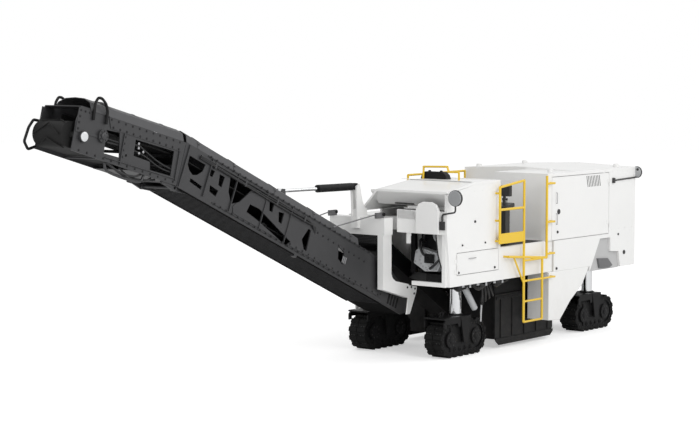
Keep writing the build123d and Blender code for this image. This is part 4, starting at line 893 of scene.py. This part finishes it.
# %% Front covers, fascia, handle, struts, arch liner and louvres
pod_outline = ((0.73, 1.872), (1.13, 1.872), (1.13, 2.21), (1.085, 2.295), (1.0, 2.33), (0.86, 2.33),
               (0.775, 2.295), (0.73, 2.21))
panel_outline = ((0.89, 1.871), (0.9, 1.75), (0.93, 1.55), (1.0, 1.35), (1.12, 1.22), (wall_inside, 1.2),
                 (wall_inside, 1.871))
front_covers = [box(0.82, 1.0, 0.37, wall_inside, 2.06, 2.2), prism("X", pod_outline, 0.999, 1.042),
                prism("X", panel_outline, 0.74, 0.76), box(0.94, 0.96, 0.505, 0.58, 1.71, 1.871)]
piece("front_covers", "chassis", front_covers, white_paint, edge=0.008)
trim_path = ((0.888, 1.86), (0.898, 1.75), (0.928, 1.55), (0.998, 1.35), (1.118, 1.222), (1.2, 1.2))
hoses("panel_trim", "chassis", [[(0.762, y, z) for y, z in trim_path]], 0.009, hose_rubber)
fascia = ((0.985, 2.47), (0.985, 2.44), (0.79, 2.25), (0.765, 2.25), (0.765, 2.265), (0.955, 2.465))
piece("nose_fascia", "engine_lid", [prism("Y", fascia, -0.12, 1.2017)], white_paint, edge=0.004)
handle_outline = ((0.815, 2.262), (0.845, 2.262), (0.85, 2.272), (0.845, 2.282), (0.815, 2.282))
handle = [prism("Y", handle_outline, 0.216, 0.54)]
handle += [box(0.8, 0.818, y, y + 0.04, 2.262, 2.29) for y in (0.216, 0.5)]
piece("nose_handle", "engine_lid", handle, black_plastic, edge=0.003)
# A black sleeve over the strut: painted shade, for the dark inside behind the front opening.
sleeve = [box(0.5385, 0.6015, 0.3285, 0.4015, frame_top, 1.8705),
          box(0.535, 0.605, 0.325, 0.405, frame_top, 1.3)]
piece("strut_sleeve", "chassis", sleeve, frame_black)
hoses("frame_strut", "chassis", [[(0.14, 0.9, 1.12), (-0.2, 0.9, 0.69)]], 0.048, casting_grey, sides=24)
liner_outline = [(-2.945, 1.262), (-3.048, 1.386), (-3.143, 1.542), (-3.472, 1.542), (-3.482, 1.322),
                 (-3.735, 1.302), (-3.75, 1.262)]
liner = [prism("Y", liner_outline, 0.905, 0.917), box(-3.735, -3.482, 0.93, 1.2, 1.29, 1.302),
         prism("Y", [(-3.3, 1.262), (-3.2, 1.42), (-3.05, 1.36), (-3.05, 1.262)], 0.99, 1.03)]
piece("arch_liner", "chassis", liner, white_paint, edge=0.004)
louvre = ((0, 2.365), (0.014, 2.365), (0.056, 2.535), (0.042, 2.535))
louvres = [prism("Y", [(-3.15 + 0.046 * k + x, z) for x, z in louvre], left_face, 1.2515) for k in range(9)]
piece("louvre_slots", "rear_left_door", louvres, frame_black)
print("covers added")

# %% [markdown]
# ## Leg columns
# Each chromed column slides in a barrel under the deck. A bolted wiper ring closes the barrel's foot. A
# profile turned round the column's axis gives the ring, and the copies tree sets its ten bolts.

# %% Wiper rings
wiper = ((0.0, 0.125), (-0.01, 0.12), (-0.026, 0.118), (-0.026, 0.0875), (0.0, 0.0875))
collar = ((0.0, 0.124), (0.0, 0.138), (0.022, 0.138), (0.022, 0.124))
rings, ring_bolts = [], []
for leg_x, leg_y in legs.values():
    rings += [turned("Z", (leg_x, leg_y, 1.01), wiper, 32), turned("Z", (leg_x, leg_y, 1.012), collar, 32)]
    ring_bolts += ring_of("Z", (leg_x, leg_y, 1.012), 0.131, 10, -1)
piece("wiper_rings", "chassis", rings, frame_black)
bolts("wiper_ring_bolts", "chassis", ring_bolts, 0.006, 0.006, bolt_steel, 5)
print("wiper ring bolts:", len(ring_bolts))

# %% [markdown]
# ## Discharge conveyor
# The lower and the upper conveyor have their own axes: u runs from tail to head, w stands over it. The pieces
# below use the same two numbers, and one matrix per conveyor turns them into places.

# %% Bolts of the lower conveyor
flange = 0.334
lower_rows = lines_of((
    ((1.05, flange, -0.247), (4.25, flange, -0.247), 27),
    ((0.9, flange, 0.288), (4.55, flange, 0.288), 31),
    ((0.95, doubler, 0.125), (2.1, doubler, 0.14), 10),
    ((0.45, doubler, -0.205), (2.6, doubler, -0.205), 16),
    ((0.4, doubler, 0.06), (0.4, doubler, -0.18), 4)))
bolts("lower_conveyor_bolts", "conveyor_lower", lower_rows, 0.011, 0.009, dark_steel, 21)
print("bolts:", len(lower_rows))


# %% Cover straps of the lower conveyor
def crest(rise, half=0.318):
    """Outline (y, w) of a conveyor cover's outer skin."""
    arch = ((1, 0), (0.86, 0.62), (0.5, 0.93), (0, 1), (-0.5, 0.93), (-0.86, 0.62), (-1, 0))
    return [(half * y, rise * w) for y, w in arch]


def strap(u, width, base, rise, thick):
    """Band over a cover, seen as an arch from tail to head."""
    outer = [(y * (1 + thick / 0.318), base + w + (thick if w > 0 else 0)) for y, w in crest(rise)]
    inner = [(y, base + w + 0.0005) for y, w in crest(rise)][::-1]
    ring = outer + inner
    count = len(ring)
    corners = [(place, y, w) for place in (u, u + width) for y, w in ring]
    faces = [(k, (k + 1) % count, count + (k + 1) % count, count + k) for k in range(count)]
    faces += [(start + k, start + k + 1, start + count - 2 - k, start + count - 1 - k)
              for start in (0, count) for k in range(count // 2 - 1)]
    return corners, faces


lower_base, lower_rise = 0.2963, 0.16
strap_places = (1.32, 2.22, 3.12, 4.02, 4.78)
straps = [strap(u, 0.045, lower_base, lower_rise, 0.006) for u in strap_places]
piece("lower_cover_straps", "conveyor_lower", straps, cover_paint, edge=0.0015)
strap_faces = ((0.296, 0.062, (0, 0.87, 0.48)), (0.215, 0.121, (0, 0.33, 0.94)), (0.0, 0.166, (0, 0, 1)))
strap_bolts = [((u + 0.022, y, lower_base + w), slope, (1, 0, 0)) for u in strap_places
               for y, w, slope in strap_faces]
bolts("lower_strap_bolts", "conveyor_lower", strap_bolts, 0.009, 0.008, dark_steel, 22)
print("straps:", len(straps))

# %% Hoses, clamps, ribs and rollers of the lower conveyor
side_hoses = []
for k, w in enumerate((0.236, 0.212, 0.19)):
    places = [2.35 + 0.3 * step for step in range(9)]
    wave = [(u, 0.34 + 0.006 * math.sin(1.7 * u + k), w + 0.008 * math.sin(2.3 * u + 2 * k))
            for u in places]
    side_hoses.append([(2.1, 0.3, 0.05 + 0.03 * k), (2.2, 0.335, 0.15 + 0.02 * k), *wave])
hoses("lower_side_hoses", "conveyor_lower", side_hoses, 0.0105, hose_rubber)
clamps = [box(u, u + 0.03, doubler - 0.008, 0.356, 0.172, 0.254) for u in (2.44, 3.08, 3.78, 4.42)]
piece("hose_clamps", "conveyor_lower", clamps, conveyor_paint, edge=0.004)
tail_marks = [box(u, u + 0.035, plate - 0.004, plate + 0.006, -0.25, -0.095)
              for u in (-0.055, 0.015, 0.085, 0.155)]
piece("tail_slots", "conveyor_lower", tail_marks, frame_black, edge=0.004)
teeth = [box(1.355 + 0.035 * k, 1.372 + 0.035 * k, doubler - 0.002, doubler + 0.012, -0.06, 0.035)
         for k in range(3)]
piece("side_vanes", "conveyor_lower", teeth, bolt_steel, edge=0.003)
ribs = [box(u, u + 0.012, plate - 0.004, plate + 0.022, -0.24, 0.282) for u in (2.74, 3.3, 3.95, 4.5)]
ribs.append(box(4.97, 4.985, plate - 0.004, plate + 0.02, -0.28, 0.285))
piece("lower_side_ribs", "conveyor_lower", ribs, conveyor_paint, edge=0.002)
roller = ((-0.26, 0.02), (-0.26, 0.045), (0.26, 0.045), (0.26, 0.02))
rollers = []
for u in (1.05, 1.75, 2.45, 3.15, 3.85, 4.55):
    rollers += [turned("Y", (u, 0, -0.15), roller, 20),
                *[rod("Y", (u, 0, -0.15), side * 0.24, side * 0.307, 0.014, 12) for side in (1, -1)]]
piece("lower_return_rollers", "conveyor_lower", rollers, frame_black)
print("hoses:", len(side_hoses), "clamps:", len(clamps))

# %% [markdown]
# **Belt cleats.** Rubber chevrons keep what was milled from sliding back down. One chevron is drawn from
# two mirrored bars, and the tree copies it along the belt and round the head pulley.

# %% Belt cleats
cleat_arm = ((-0.09, 0, 0), (-0.075, 0, 0), (0.06, 0.22, 0), (0.075, 0.22, 0), (-0.09, 0, 0.016),
             (-0.075, 0, 0.016), (0.06, 0.22, 0.014), (0.075, 0.22, 0.014))
cleat_shape = [([(x, side * y, z) for x, y, z in cleat_arm], block_faces) for side in (1, -1)]
cleats = line_of((0.3, 0, 0.1025), (4.65, 0, 0.1025), 15, (0, 0, 1))
copies("lower_belt_cleats", "conveyor_lower", cleats, cleat_shape, belt_rubber)
head_u, head_w, head_radius = 1.905, -0.055, 0.15
belt_radius = head_radius + 0.0125
upper_cleats = line_of((0.25, 0, head_w + belt_radius), (1.8, 0, head_w + belt_radius), 6, (0, 0, 1))
for angle in (70, 10, -50):
    c, s = math.cos(math.radians(angle)), math.sin(math.radians(angle))
    upper_cleats.append(((head_u + belt_radius * c, 0, head_w + belt_radius * s), (c, 0, s), (s, 0, -c)))
copies("upper_belt_cleats", "conveyor_upper", upper_cleats, cleat_shape, belt_rubber)
print("cleats:", len(cleats) + len(upper_cleats))

# %% [markdown]
# **Upper conveyor.** Its side plates carry a bolted chord, a drive motor, an inspection lamp and hoses.

# %% Upper conveyor: bolts, motor cap and lamp
upper_rows = lines_of((
    ((0.1, doubler, 0.262), (1.35, doubler, 0.262), 11),
    ((0.1, doubler, 0.172), (1.3, doubler, 0.172), 11),
    ((1.66, doubler, 0.255), (1.88, doubler, 0.255), 4),
    ((1.88, doubler, 0.18), (1.88, doubler, 0.03), 3),
    ((0.1, plate, -0.25), (1.8, plate, -0.222), 13),
    ((1.06, plate, 0.11), (1.06, plate, -0.14), 4)))
bolts("upper_conveyor_bolts", "conveyor_upper", upper_rows, 0.011, 0.009, dark_steel, 23)
bolts("motor_cap_bolts", "conveyor_upper", ring_of("Y", (1.46, 0.35, 0.03), 0.062, 8), 0.007, 0.006,
      dark_steel, 24)
cap = turned("Y", (1.46, 0.345, 0.03), [(0, 0.045), (0.018, 0.042), (0.026, 0.02)], 24)
piece("motor_cap", "conveyor_upper", [cap], conveyor_paint)
lamp_rim = turned("Y", (1.78, 0.345, -0.05), [(0, 0.069), (0.012, 0.069), (0.012, 0.058)], 28)
piece("inspection_lamp_rim", "conveyor_upper", [lamp_rim], black_plastic)
lamp_lens = turned("Y", (1.78, 0.346, -0.05), [(0, 0.064), (0.016, 0.058), (0.023, 0.035)], 28)
piece("inspection_lamp_lens", "conveyor_upper", [lamp_lens], lens_white)
print("bolts:", len(upper_rows))

# %% Upper conveyor: cover and straps
drawn("upper_cover_shell", "conveyor_upper_cover", [strap(0.03, 1.683, upper_base, 0.157, 0.008)], edge=0.002)
upper_straps = [strap(u, 0.045, upper_base, 0.165, 0.006) for u in (0.3, 0.82, 1.3)]
piece("upper_cover_straps", "conveyor_upper", upper_straps, cover_paint, edge=0.0015)
piece("cover_portal", "conveyor_upper", [strap(1.395, 0.03, upper_base, 0.166, 0.022)], conveyor_paint,
      edge=0.002)
print("straps:", len(upper_straps))

# %% Upper conveyor: hoses, ribs and belt skirts
hanging = [
    [(1.2, 0.27, -0.262), (1.05, 0.28, -0.33), (0.82, 0.285, -0.372), (0.6, 0.285, -0.352),
     (0.46, 0.275, -0.285)],
    [(1.0, 0.24, -0.262), (0.9, 0.25, -0.318), (0.72, 0.26, -0.345), (0.52, 0.26, -0.325),
     (0.36, 0.25, -0.285)],
    [(1.3, 0.3, -0.262), (1.12, 0.31, -0.318), (0.95, 0.31, -0.338), (0.78, 0.305, -0.325),
     (0.66, 0.29, -0.28)],
]
hoses("hanging_hoses", "conveyor_upper", hanging, 0.013, hose_rubber)
inner_hoses = [[(0.16, 0.3, -0.1), (0.4, 0.298, -0.06), (0.66, 0.298, 0.02), (0.8, 0.3, 0.06),
                (1.02, 0.3, 0.03), (1.3, 0.3, 0.02), (1.44, 0.3, 0.03)],
               [(0.16, 0.296, -0.14), (0.38, 0.292, -0.12), (0.62, 0.292, -0.05), (0.82, 0.296, -0.02),
                (1.06, 0.296, -0.01), (1.34, 0.296, -0.02)]]
hoses("upper_inner_hoses", "conveyor_upper", inner_hoses, 0.0095, hose_rubber)
fittings = [disc("Y", (u, 0.285, w), 0.018, 0.025, 8)
            for u, w in ((0.8, 0.085), (0.79, 0.03), (0.77, -0.03), (0.7, 0.0))]
piece("hose_fittings", "conveyor_upper", fittings, bolt_steel, edge=0.002)
stiffeners = [box(u, u + 0.012, plate - 0.004, plate + 0.018, -0.235, 0.148) for u in (0.075, 1.085)]
stiffeners.append(box(0.1, 1.36, plate - 0.004, plate + 0.016, -0.215, -0.205))
piece("upper_side_ribs", "conveyor_upper", stiffeners, conveyor_paint, edge=0.002)
belt_skirts = [box(0.15, 1.6, y, y + 0.006, 0.13, 0.262) for y in (-0.3, 0.294)]
piece("belt_skirts", "conveyor_upper", belt_skirts, belt_rubber)
print("hoses:", len(hanging) + len(inner_hoses))

# %% [markdown]
# ## Belly of the lower conveyor
# Slanted slats close the underside, each casting a thin shadow on the next; the near-black lining is painted
# shade.

# %% Belly slats
slat = [prism("Z", [(-0.012, -0.305), (0.006, -0.305), (0.036, 0.305), (0.018, 0.305)], -0.0005, 0.007)]
slat_rows = line_of((0.34, 0, -0.2955), (4.88, 0, -0.2955), 92, (0, 0, -1))
copies("belly_slats", "conveyor_lower", slat_rows, slat, slat_black)
lip = ((0.302, -0.298), (0.318, -0.298), (0.318, -0.306), (0.306, -0.312))
# The lining is near black as painted shade under the conveyor.
lining = [box(0.31, 4.92, -0.315, 0.315, -0.2962, -0.2948), box(-0.19, 0.3, -0.3, 0.3, -0.2962, -0.2948),
          *[prism("X", [(side * y, w) for y, w in lip], 0.32, 4.9) for side in (1, -1)]]
piece("belly_lining", "conveyor_lower", lining, belly_shade_black)
print("belly slats:", len(slat_rows))

# %% Paint of the stays, painted shade on the pick-up conveyor, glass of the front mirror
# The pick-up conveyor is painted black as painted shade: it stands in the dark inside behind the front
# opening.
for name, paint in (("stays", strut_grey), ("pickup_conveyor", frame_black)):
    nodes[name].data.materials[0] = paint
mirror_face = turned("X", (1.0355, 1.41, 2.4), [(-0.0005, 0.108), (0.004, 0.108), (0.006, 0.1)], 40)
piece("front_mirror_glass", "chassis", [mirror_face], mirror_silver)
print("stays, pick-up conveyor and front mirror painted")

# %% [markdown]
# ## Drum, housing and side plates
# The picks stand on six helices, three from each end, that wind toward the middle of the drum, so that it
# throws what it cuts to the pick-up belt. The angle and the place across both grow by equal steps.

# %% Picks and holders on helices
drum_x, drum_z, drum_radius, drum_half = -1.65, 0.6, 0.4, 0.6
holder_outline = ((-0.04, 0.0), (0.045, 0.0), (0.03, 0.04), (-0.005, 0.055), (-0.035, 0.03))
holder = [prism("Y", holder_outline, -0.02, 0.02)]
tip_profile = ((0.045, 0.018), (0.06, 0.018), (0.064, 0.011), (0.08, 0.008), (0.086, 0.002))
tip = [turned("Z", (0.004, 0, 0.0), tip_profile, 10)]
pick_rows, starts, per_start = [], 6, 22
for start in range(starts):
    for k in range(per_start):
        share = k / (per_start - 1)
        side = 1 if start % 2 else -1
        y = conveyor_y + side * (drum_half - 0.02) * (1 - share)
        angle = 2 * math.pi * (start / starts + 0.55 * share)
        out = (math.cos(angle), 0, math.sin(angle))
        pick_rows.append(((drum_x + (drum_radius - 0.002) * out[0], y,
                           drum_z + (drum_radius - 0.002) * out[2]), out, (out[2], 0, -out[0])))
copies("pick_holders", "drum", pick_rows, holder, drum_steel)
copies("pick_tips", "drum", pick_rows, tip, bolt_steel)
print("picks:", len(pick_rows))

# %% [markdown]
# **Side plates.** Each slides up and down beside the drum and keeps the loose material in. A skid takes the
# wear and ribs stiffen the plate. All its edges are straight, so prisms and blocks are enough.

# %% Side plates: skid, ribs and bolts
plate_outline = ((-2.45, 0.12), (-2.36, 0.05), (-0.94, 0.05), (-0.85, 0.12), (-0.85, 0.82), (-2.45, 0.82))
drawn("right_plate", "side_plate_right", [prism("Y", plate_outline, -0.904, -0.886)])
skid_outline = ((-2.44, 0.115), (-2.36, 0.052), (-0.94, 0.052), (-0.86, 0.115), (-0.86, 0.15),
                (-2.44, 0.15))
for label, body, face, side in (("left", "side_plate_left", 0.822, 1),
                                ("right", "side_plate_right", -0.904, -1)):
    foot = face - side * 0.001
    skid = [prism("Y", skid_outline, foot, face + side * 0.016),
            *[box(x - 0.012, x + 0.012, foot, face + side * 0.014, 0.16, 0.74)
              for x in (-2.3, -1.97, -1.64, -1.31, -1.0)],
            box(-2.42, -0.88, foot, face + side * 0.012, 0.745, 0.79)]
    piece(f"side_plate_ribs_{label}", body, skid, frame_black, edge=0.003)
    rows = lines_of([((-2.38, face + side * stand, z), (-0.92, face + side * stand, z), count)
                     for stand, z, count in ((0.008, 0.1, 14), (0.007, 0.768, 12))], (0, side, 0))
    bolts(f"side_plate_bolts_{label}", body, rows, 0.012, 0.01, frame_black, 41)
print("bolts on a side plate:", len(rows))

# %% [markdown]
# **Cylinder and hoses.** A small cylinder lifts the left plate, and hoses hang in clamps along the skirt.
# All are paths swept by the hose tree, which keeps the section round through every bend.

# %% Lift cylinder of the left plate, hoses along the skirt
hoses("plate_lift_barrel", "chassis", [[(-0.309, 1.0, 0.994), (-0.229, 1.0, 0.742)]], 0.027, frame_black,
      sides=18)
hoses("plate_lift_rod", "chassis", [[(-0.232, 1.0, 0.75), (-0.212, 1.0, 0.5)]], 0.014, bolt_steel, sides=14)
skirt_clamps = [box(0.62 - 0.19 * k, 0.665 - 0.19 * k, 1.135 - 0.02 * (k % 3), 1.195,
                    1.06 - 0.012 * (k % 2), 1.122) for k in range(7)]
# each point of a skirt hose: place, height, share of the sag
skirt_path = ((0.66, 1.13, 0), (0.45, 1.13, 1), (0.22, 1.115, 0), (-0.05, 1.13, 1.2), (-0.3, 1.11, 0),
              (-0.52, 1.12, 1), (-0.74, 1.13, 0))
skirt_hoses = [[(x, 1.18 - 0.035 * k, z - share * (0.05 + 0.022 * k)) for x, z, share in skirt_path]
               for k in range(4)]
piece("skirt_clamps", "chassis", skirt_clamps, frame_black, edge=0.006)
hoses("skirt_hoses", "chassis", skirt_hoses, 0.016, hose_rubber)
drop_hoses = [[(-0.15 - 0.07 * k, 1.06 - 0.02 * k, 1.13), (-0.18 - 0.08 * k, 1.05, 0.92),
               (-0.26 - 0.1 * k, 0.98, 0.76 + 0.03 * k), (-0.42 - 0.08 * k, 0.9, 0.86),
               (-0.52 - 0.06 * k, 0.84, 1.02)] for k in range(4)]
hoses("drop_hoses", "chassis", drop_hoses, 0.015, hose_rubber)
print("drum and plates dressed")

# %% [markdown]
# ## Body fittings
# Latches, handles, ribs, lamps, mirror glass, treads and grilles. The three numbers of a latch are its place
# along, its height and its radius.

# %% Latches, handles and panel bolts on the left side
def latch(x, z, radius):
    """Round latch with a raised middle and a finger slot."""
    profile = [(0, radius), (0.008, radius), (0.013, radius * 0.8), (0.009, radius * 0.55)]
    long, wide = radius * 0.5, radius * 0.16
    slot = box(x - long, x + long, left_face + 0.008, left_face + 0.015, z - wide, z + wide)
    return [turned("Y", (x, left_face, z), profile, 20), slot]


def grip(foot, out, along):
    """Path of a handle: out from the foot, along, and back."""
    foot, out, along = Vector(foot), Vector(out), Vector(along)
    return bent([foot, foot + out, foot + out + along, foot + along], 0.01)


latches = {"rear_left_door": ((-1.928, 2.029, 0.04), (-1.9, 1.72, 0.022)),
           "access_door": ((0.711, 1.313, 0.018), (-0.2, 1.32, 0.018)),
           "chassis": ((-1.877, 1.163, 0.022), (-3.884, 1.263, 0.034), (-3.697, 1.565, 0.018),
                       (0.306, 2.021, 0.02), (0.046, 1.7, 0.014), (0.62, 1.7, 0.014))}
for body, rows in latches.items():
    piece(f"latches_{body}", body, [shape for row in rows for shape in latch(*row)], black_plastic)
panel_lines = ((-0.28, 0.92, 2.46, 7), (-0.28, 0.92, 1.66, 7), (-3.98, -3.5, 2.58, 4),
               (-4.12, -3.5, 1.66, 4))
panel_bolts = lines_of([((x0, left_face, z), (x1, left_face, z), count)
                        for x0, x1, z, count in panel_lines])
bolts("side_panel_bolts", "chassis", panel_bolts, 0.008, 0.005, white_paint, 51)
handles = [grip((-1.86, left_face, z), (0, 0.022, 0), (0, 0, 0.16)) for z in (2.16, 1.84)]
hoses("left_door_handles", "rear_left_door", handles, 0.0055, bolt_steel)
hoses("access_door_handle", "access_door", [grip((0.3, left_face, 1.5), (0, 0.022, 0), (0.16, 0, 0))],
      0.0055, bolt_steel)
print("latches:", sum(len(rows) for rows in latches.values()), "panel bolts:", len(panel_bolts))

# %% [markdown]
# **Roof.** Ribs stiffen the lid's sheet, and round bosses stand on the rear hood. The ribs are blocks and
# the bosses are turned, because both shapes are that plain on the machine.

# %% Roof: ribs on the lid, bosses on the rear hood
lid_ribs = [box(0.3, 0.34, -0.05, 1.2, 2.5895, 2.596), box(-0.3, -0.27, 0.1, 1.2, 2.5895, 2.596)]
piece("lid_ribs", "engine_lid", lid_ribs, white_paint, edge=0.002)
bosses = [turned("Z", (x, y, 0), [(2.6, 0.045), (2.668, 0.045), (2.674, 0.03)], 20)
          for x, y in ((-2.0, 1.05), (-2.62, -0.7), (-3.95, 1.05), (-3.95, -0.7))]
piece("roof_bosses", "chassis", bosses, white_paint, edge=0.002)
print("body fittings added")

# %% [markdown]
# **Rear door.** The cooler breathes through a grille of equal slats in a frame. The slats are copies on a
# column of points. The frame is four bars, and one helper gives their ranges.


# %% Rear door: grille slats, frame and handle
def bars_round(a0, a1, b0, b1, width=0.02):
    """Ranges of four bars that frame an opening."""
    return [(a0, a1, b0, b0 + width), (a0, a1, b1 - width, b1), (a0, a0 + width, b0, b1),
            (a1 - width, a1, b0, b1)]


slat_shape = [prism("Y", [(0.0, 0.0), (0.012, -0.006), (0.012, 0.03), (0.008, 0.036)], -0.62, 0.62)]
slats = [((-4.2215, 0.17, 1.56 + 0.048 * k), (0, 0, 1), (-1, 0, 0)) for k in range(17)]
copies("rear_grille_slats", "rear_door", slats, slat_shape, frame_black)
frame_bars = [box(-4.236, -4.219, *bar) for bar in bars_round(-0.48, 0.82, 1.515, 2.405)]
piece("rear_grille_frame", "rear_door", frame_bars, white_paint, edge=0.002)
hoses("rear_door_handle", "rear_door", [grip((rear_face, 0.9, 1.86), (-0.02, 0, 0), (0, 0, 0.16))], 0.006,
      bolt_steel)
print("rear dressed")

# %% [markdown]
# **Yoke.** Ribs run across the rubber boot, two eyes take the stays, and bolted straps hold the feet. The
# straps follow the outline of the foot under them, so they are prisms of that outline.

# %% Yoke: boot ribs, stay eyes and foot straps
boot_ribs = [box(1.226, 1.2465, -0.52, 0.18, 1.715 + 0.022 * k, 1.723 + 0.022 * k) for k in range(5)]
piece("boot_ribs", "yoke", boot_ribs, hose_rubber)
stay_eyes = [rod("Y", (1.2, y - 0.03, 2.13), 0, 0.06, 0.026, 16) for y in (0.265, -0.605)]
piece("stay_eyes", "yoke", stay_eyes, frame_black, edge=0.002)

foot_outline = [(0.7, 1.07), (0.64, 1.065), (0.43, 1.028), (0.445, 0.95), (0.6, 0.64), (0.685, 0.64),
                (0.64, 0.88), (0.7, 0.9)]
foot_straps = [prism("Y", foot_outline, low, high) for low, high in ((0.29, 0.3105), (-0.6505, -0.63))]
piece("yoke_foot_straps", "yoke", foot_straps, white_paint, edge=0.003)
yoke_bolts = [((x, y, z), (0, side, 0), (1, 0, 0)) for y, side in ((0.31, 1), (-0.65, -1))
              for x, z in ((0.665, 1.035), (0.57, 1.03), (0.48, 1.0), (0.5, 0.93))]
bolts("yoke_foot_bolts", "yoke", yoke_bolts, 0.012, 0.01, dark_steel, 61)
print("yoke bolts:", len(yoke_bolts))

# %% [markdown]
# ** Arch, mirror and lamps.** A grey panel lines the wheel arch; its grey is painted shade on the white body
# there. Mirror glass and lamp lenses are shallow turned profiles, which catch the light as a flat disc
# doesn't.

# %% Arch panel, bracket, rear mirror glass and lamps
arch_outline = ((-2.93, 1.27), (-3.06, 1.386), (-3.14, 1.54), (-3.475, 1.54), (-3.485, 1.32), (-3.74, 1.3),
                (-3.76, 1.03), (-2.9, 1.03))
# The panel's grey is painted shade: the arch is white body in shadow.
piece("arch_panel", "chassis", [prism("Y", arch_outline, 1.2103, 1.215)], arch_shade_grey, edge=0.002)
bracket_outline = ((-3.1, 1.22), (-3.42, 1.2), (-3.56, 1.08), (-3.46, 1.045), (-3.16, 1.06))
bracket = [prism("Y", bracket_outline, 1.214, 1.238),
           prism("Y", [(-3.12, 1.2), (-3.3, 1.19), (-3.34, 1.1), (-3.16, 1.09)], 1.236, 1.243)]
piece("folded_bracket", "chassis", bracket, strut_grey, edge=0.003)
mirror_y, mirror_z = 1.2623, 2.53
mirror_face = turned("X", (-4.2245, mirror_y, mirror_z), [(-0.0005, 0.089), (0.004, 0.089), (0.006, 0.082)],
                     36)
piece("rear_mirror_glass", "chassis", [mirror_face], mirror_silver)
mirror_screws = [rod("X", (-4.2182, mirror_y + a, mirror_z + b), -0.002, 0.001, 0.022, 12)
                 for a, b in ((0.03, 0.045), (-0.035, -0.04))]
piece("rear_mirror_screws", "chassis", mirror_screws, black_plastic)
lens = ((-0.014, 0.03), (-0.01, 0.044), (0, 0.046))
for label, paint, z in (("red", lamp_red, 1.3), ("amber", lamp_amber, 1.42)):
    lenses = [turned("X", (rear_face, y, z), lens, 24) for y in (1.12, -0.78)]
    piece(f"rear_lamps_{label}", "chassis", lenses, paint)
for name in ("platform", "step_box"):
    bpy.data.objects[name + "_skin"].data.materials[0] = white_paint
print("arch panel, mirror glass and rear lamps added")

# %% [markdown]
# **Platform floor.** A mat with raised treads keeps boots from slipping. One lozenge is copied in rows, and
# each is turned a quarter from its neighbours, as on rolled tread plate.

# %% Platform floor, treads and lintel back
tread_outline = ((-0.018, -0.003), (0.0, -0.005), (0.018, -0.003), (0.018, 0.003), (0.0, 0.005),
                 (-0.018, 0.003))
floor_rows = []
for row in range(24):
    for column in range(18):
        x, y = -2.42 + row * 0.085, -0.84 + column * 0.06
        if x < -1.66 and y > 0.2:
            continue
        floor_rows.append(((x, y, 1.6035), (0, 0, 1), (1, 1 if (row + column) % 2 else -1, 0)))
mats = [box(-2.44, -0.42, -0.86, 0.24, 1.6, 1.604), box(-1.58, -0.42, 0.24, 1.18, 1.6, 1.604)]
piece("floor_mat", "chassis", mats, frame_black)
copies("floor_treads", "chassis", floor_rows, [prism("Z", tread_outline, 0, 0.002)], dark_steel)
lintel = [box(0.8, 0.818, 0.42, wall_inside, 2.04, 2.245), box(0.818, 0.83, 0.37, wall_inside, 2.19, 2.215)]
piece("lintel_back", "chassis", lintel, white_paint, edge=0.002)
print("treads:", len(floor_rows))

# %% [markdown]
# **Skirt and right grille.** Cast brackets hold the skirt, each with a bolt. The grille on the right side
# is made as the one on the rear door, with its own slat.

# %% Skirt brackets and the grille of the right side
skirt_places = ((0.5, 1.085, 0.05), (0.33, 1.065, 0.035), (0.12, 1.08, 0.06), (-0.08, 1.06, 0.04),
                (-0.3, 1.075, 0.05), (-0.5, 1.065, 0.035))
brackets = []
for x, z, width in skirt_places:
    brackets += [box(x, x + width, 1.196, 1.204, z, 1.128),
                 disc("Y", (x + width / 2, 1.203, z + 0.022), 0.01, 0.006, 10)]
piece("skirt_brackets", "chassis", brackets, casting_grey, edge=0.002)
right_slat = [prism("X", [(0.0, 0.0), (-0.012, -0.008), (-0.014, 0.022), (-0.006, 0.03)], -0.46, 0.46)]
right_rows = [((-3.4, right_face, 1.92 + 0.044 * k), (0, 0, 1), (1, 0, 0)) for k in range(12)]
copies("right_grille_slats", "chassis", right_rows, right_slat, white_paint)
right_back = box(-3.88, -2.92, right_face - 0.003, right_face + 0.001, 1.89, 2.47)
piece("right_grille_back", "chassis", [right_back], frame_black)
right_frame = [box(x0, x1, right_face - 0.016, right_face + 0.001, z0, z1)
               for x0, x1, z0, z1 in bars_round(-3.9, -2.9, 1.88, 2.482)]
piece("right_grille_frame", "chassis", right_frame, white_paint, edge=0.002)
seam_y = -0.9005
right_seams = lines_of((((-0.3, seam_y, 1.98), (0.33, seam_y, 1.98), 6),
                        ((-2.75, seam_y, 2.5), (-2.75, seam_y, 1.2), 7)), (0, -1, 0))
bolts("right_panel_bolts", "chassis", right_seams, 0.01, 0.006, bolt_steel, 71)
print("right side and skirt dressed")

# %% [markdown]
# ## Floor
# The floor keeps the machine's soft shadow. To the camera it also glows a little, so it fades into white.

# %% Floor
floor_size = 60.0
floor_mesh = bpy.data.meshes.new("floor")
floor_mesh.from_pydata([(floor_size * x, floor_size * y, 0)
                        for x, y in ((-1, -1), (1, -1), (1, 1), (-1, 1))], [], [(0, 1, 2, 3)])
floor = new_object("floor", floor_mesh)
floor.location.z = -0.001
floor_paint, tree, shader = principled("floor_white", {
    "Base Color": (0.85, 0.85, 0.85, 1), "Roughness": 0.9, "Specular IOR Level": 0.1})
ray = add(tree, "ShaderNodeLightPath").outputs
glow = add(tree, "ShaderNodeEmission", {"Strength": 0.45})
both = add(tree, "ShaderNodeAddShader", {0: shader.outputs[0], 1: glow.outputs[0]})
seen = add(tree, "ShaderNodeMixShader", {0: ray["Is Camera Ray"], 1: shader.outputs[0], 2: both.outputs[0]})
tree.links.new(seen.outputs[0], tree.nodes["Material Output"].inputs["Surface"])
floor_mesh.materials.append(floor_paint)
print("floor:", 2 * floor_size, "m wide")
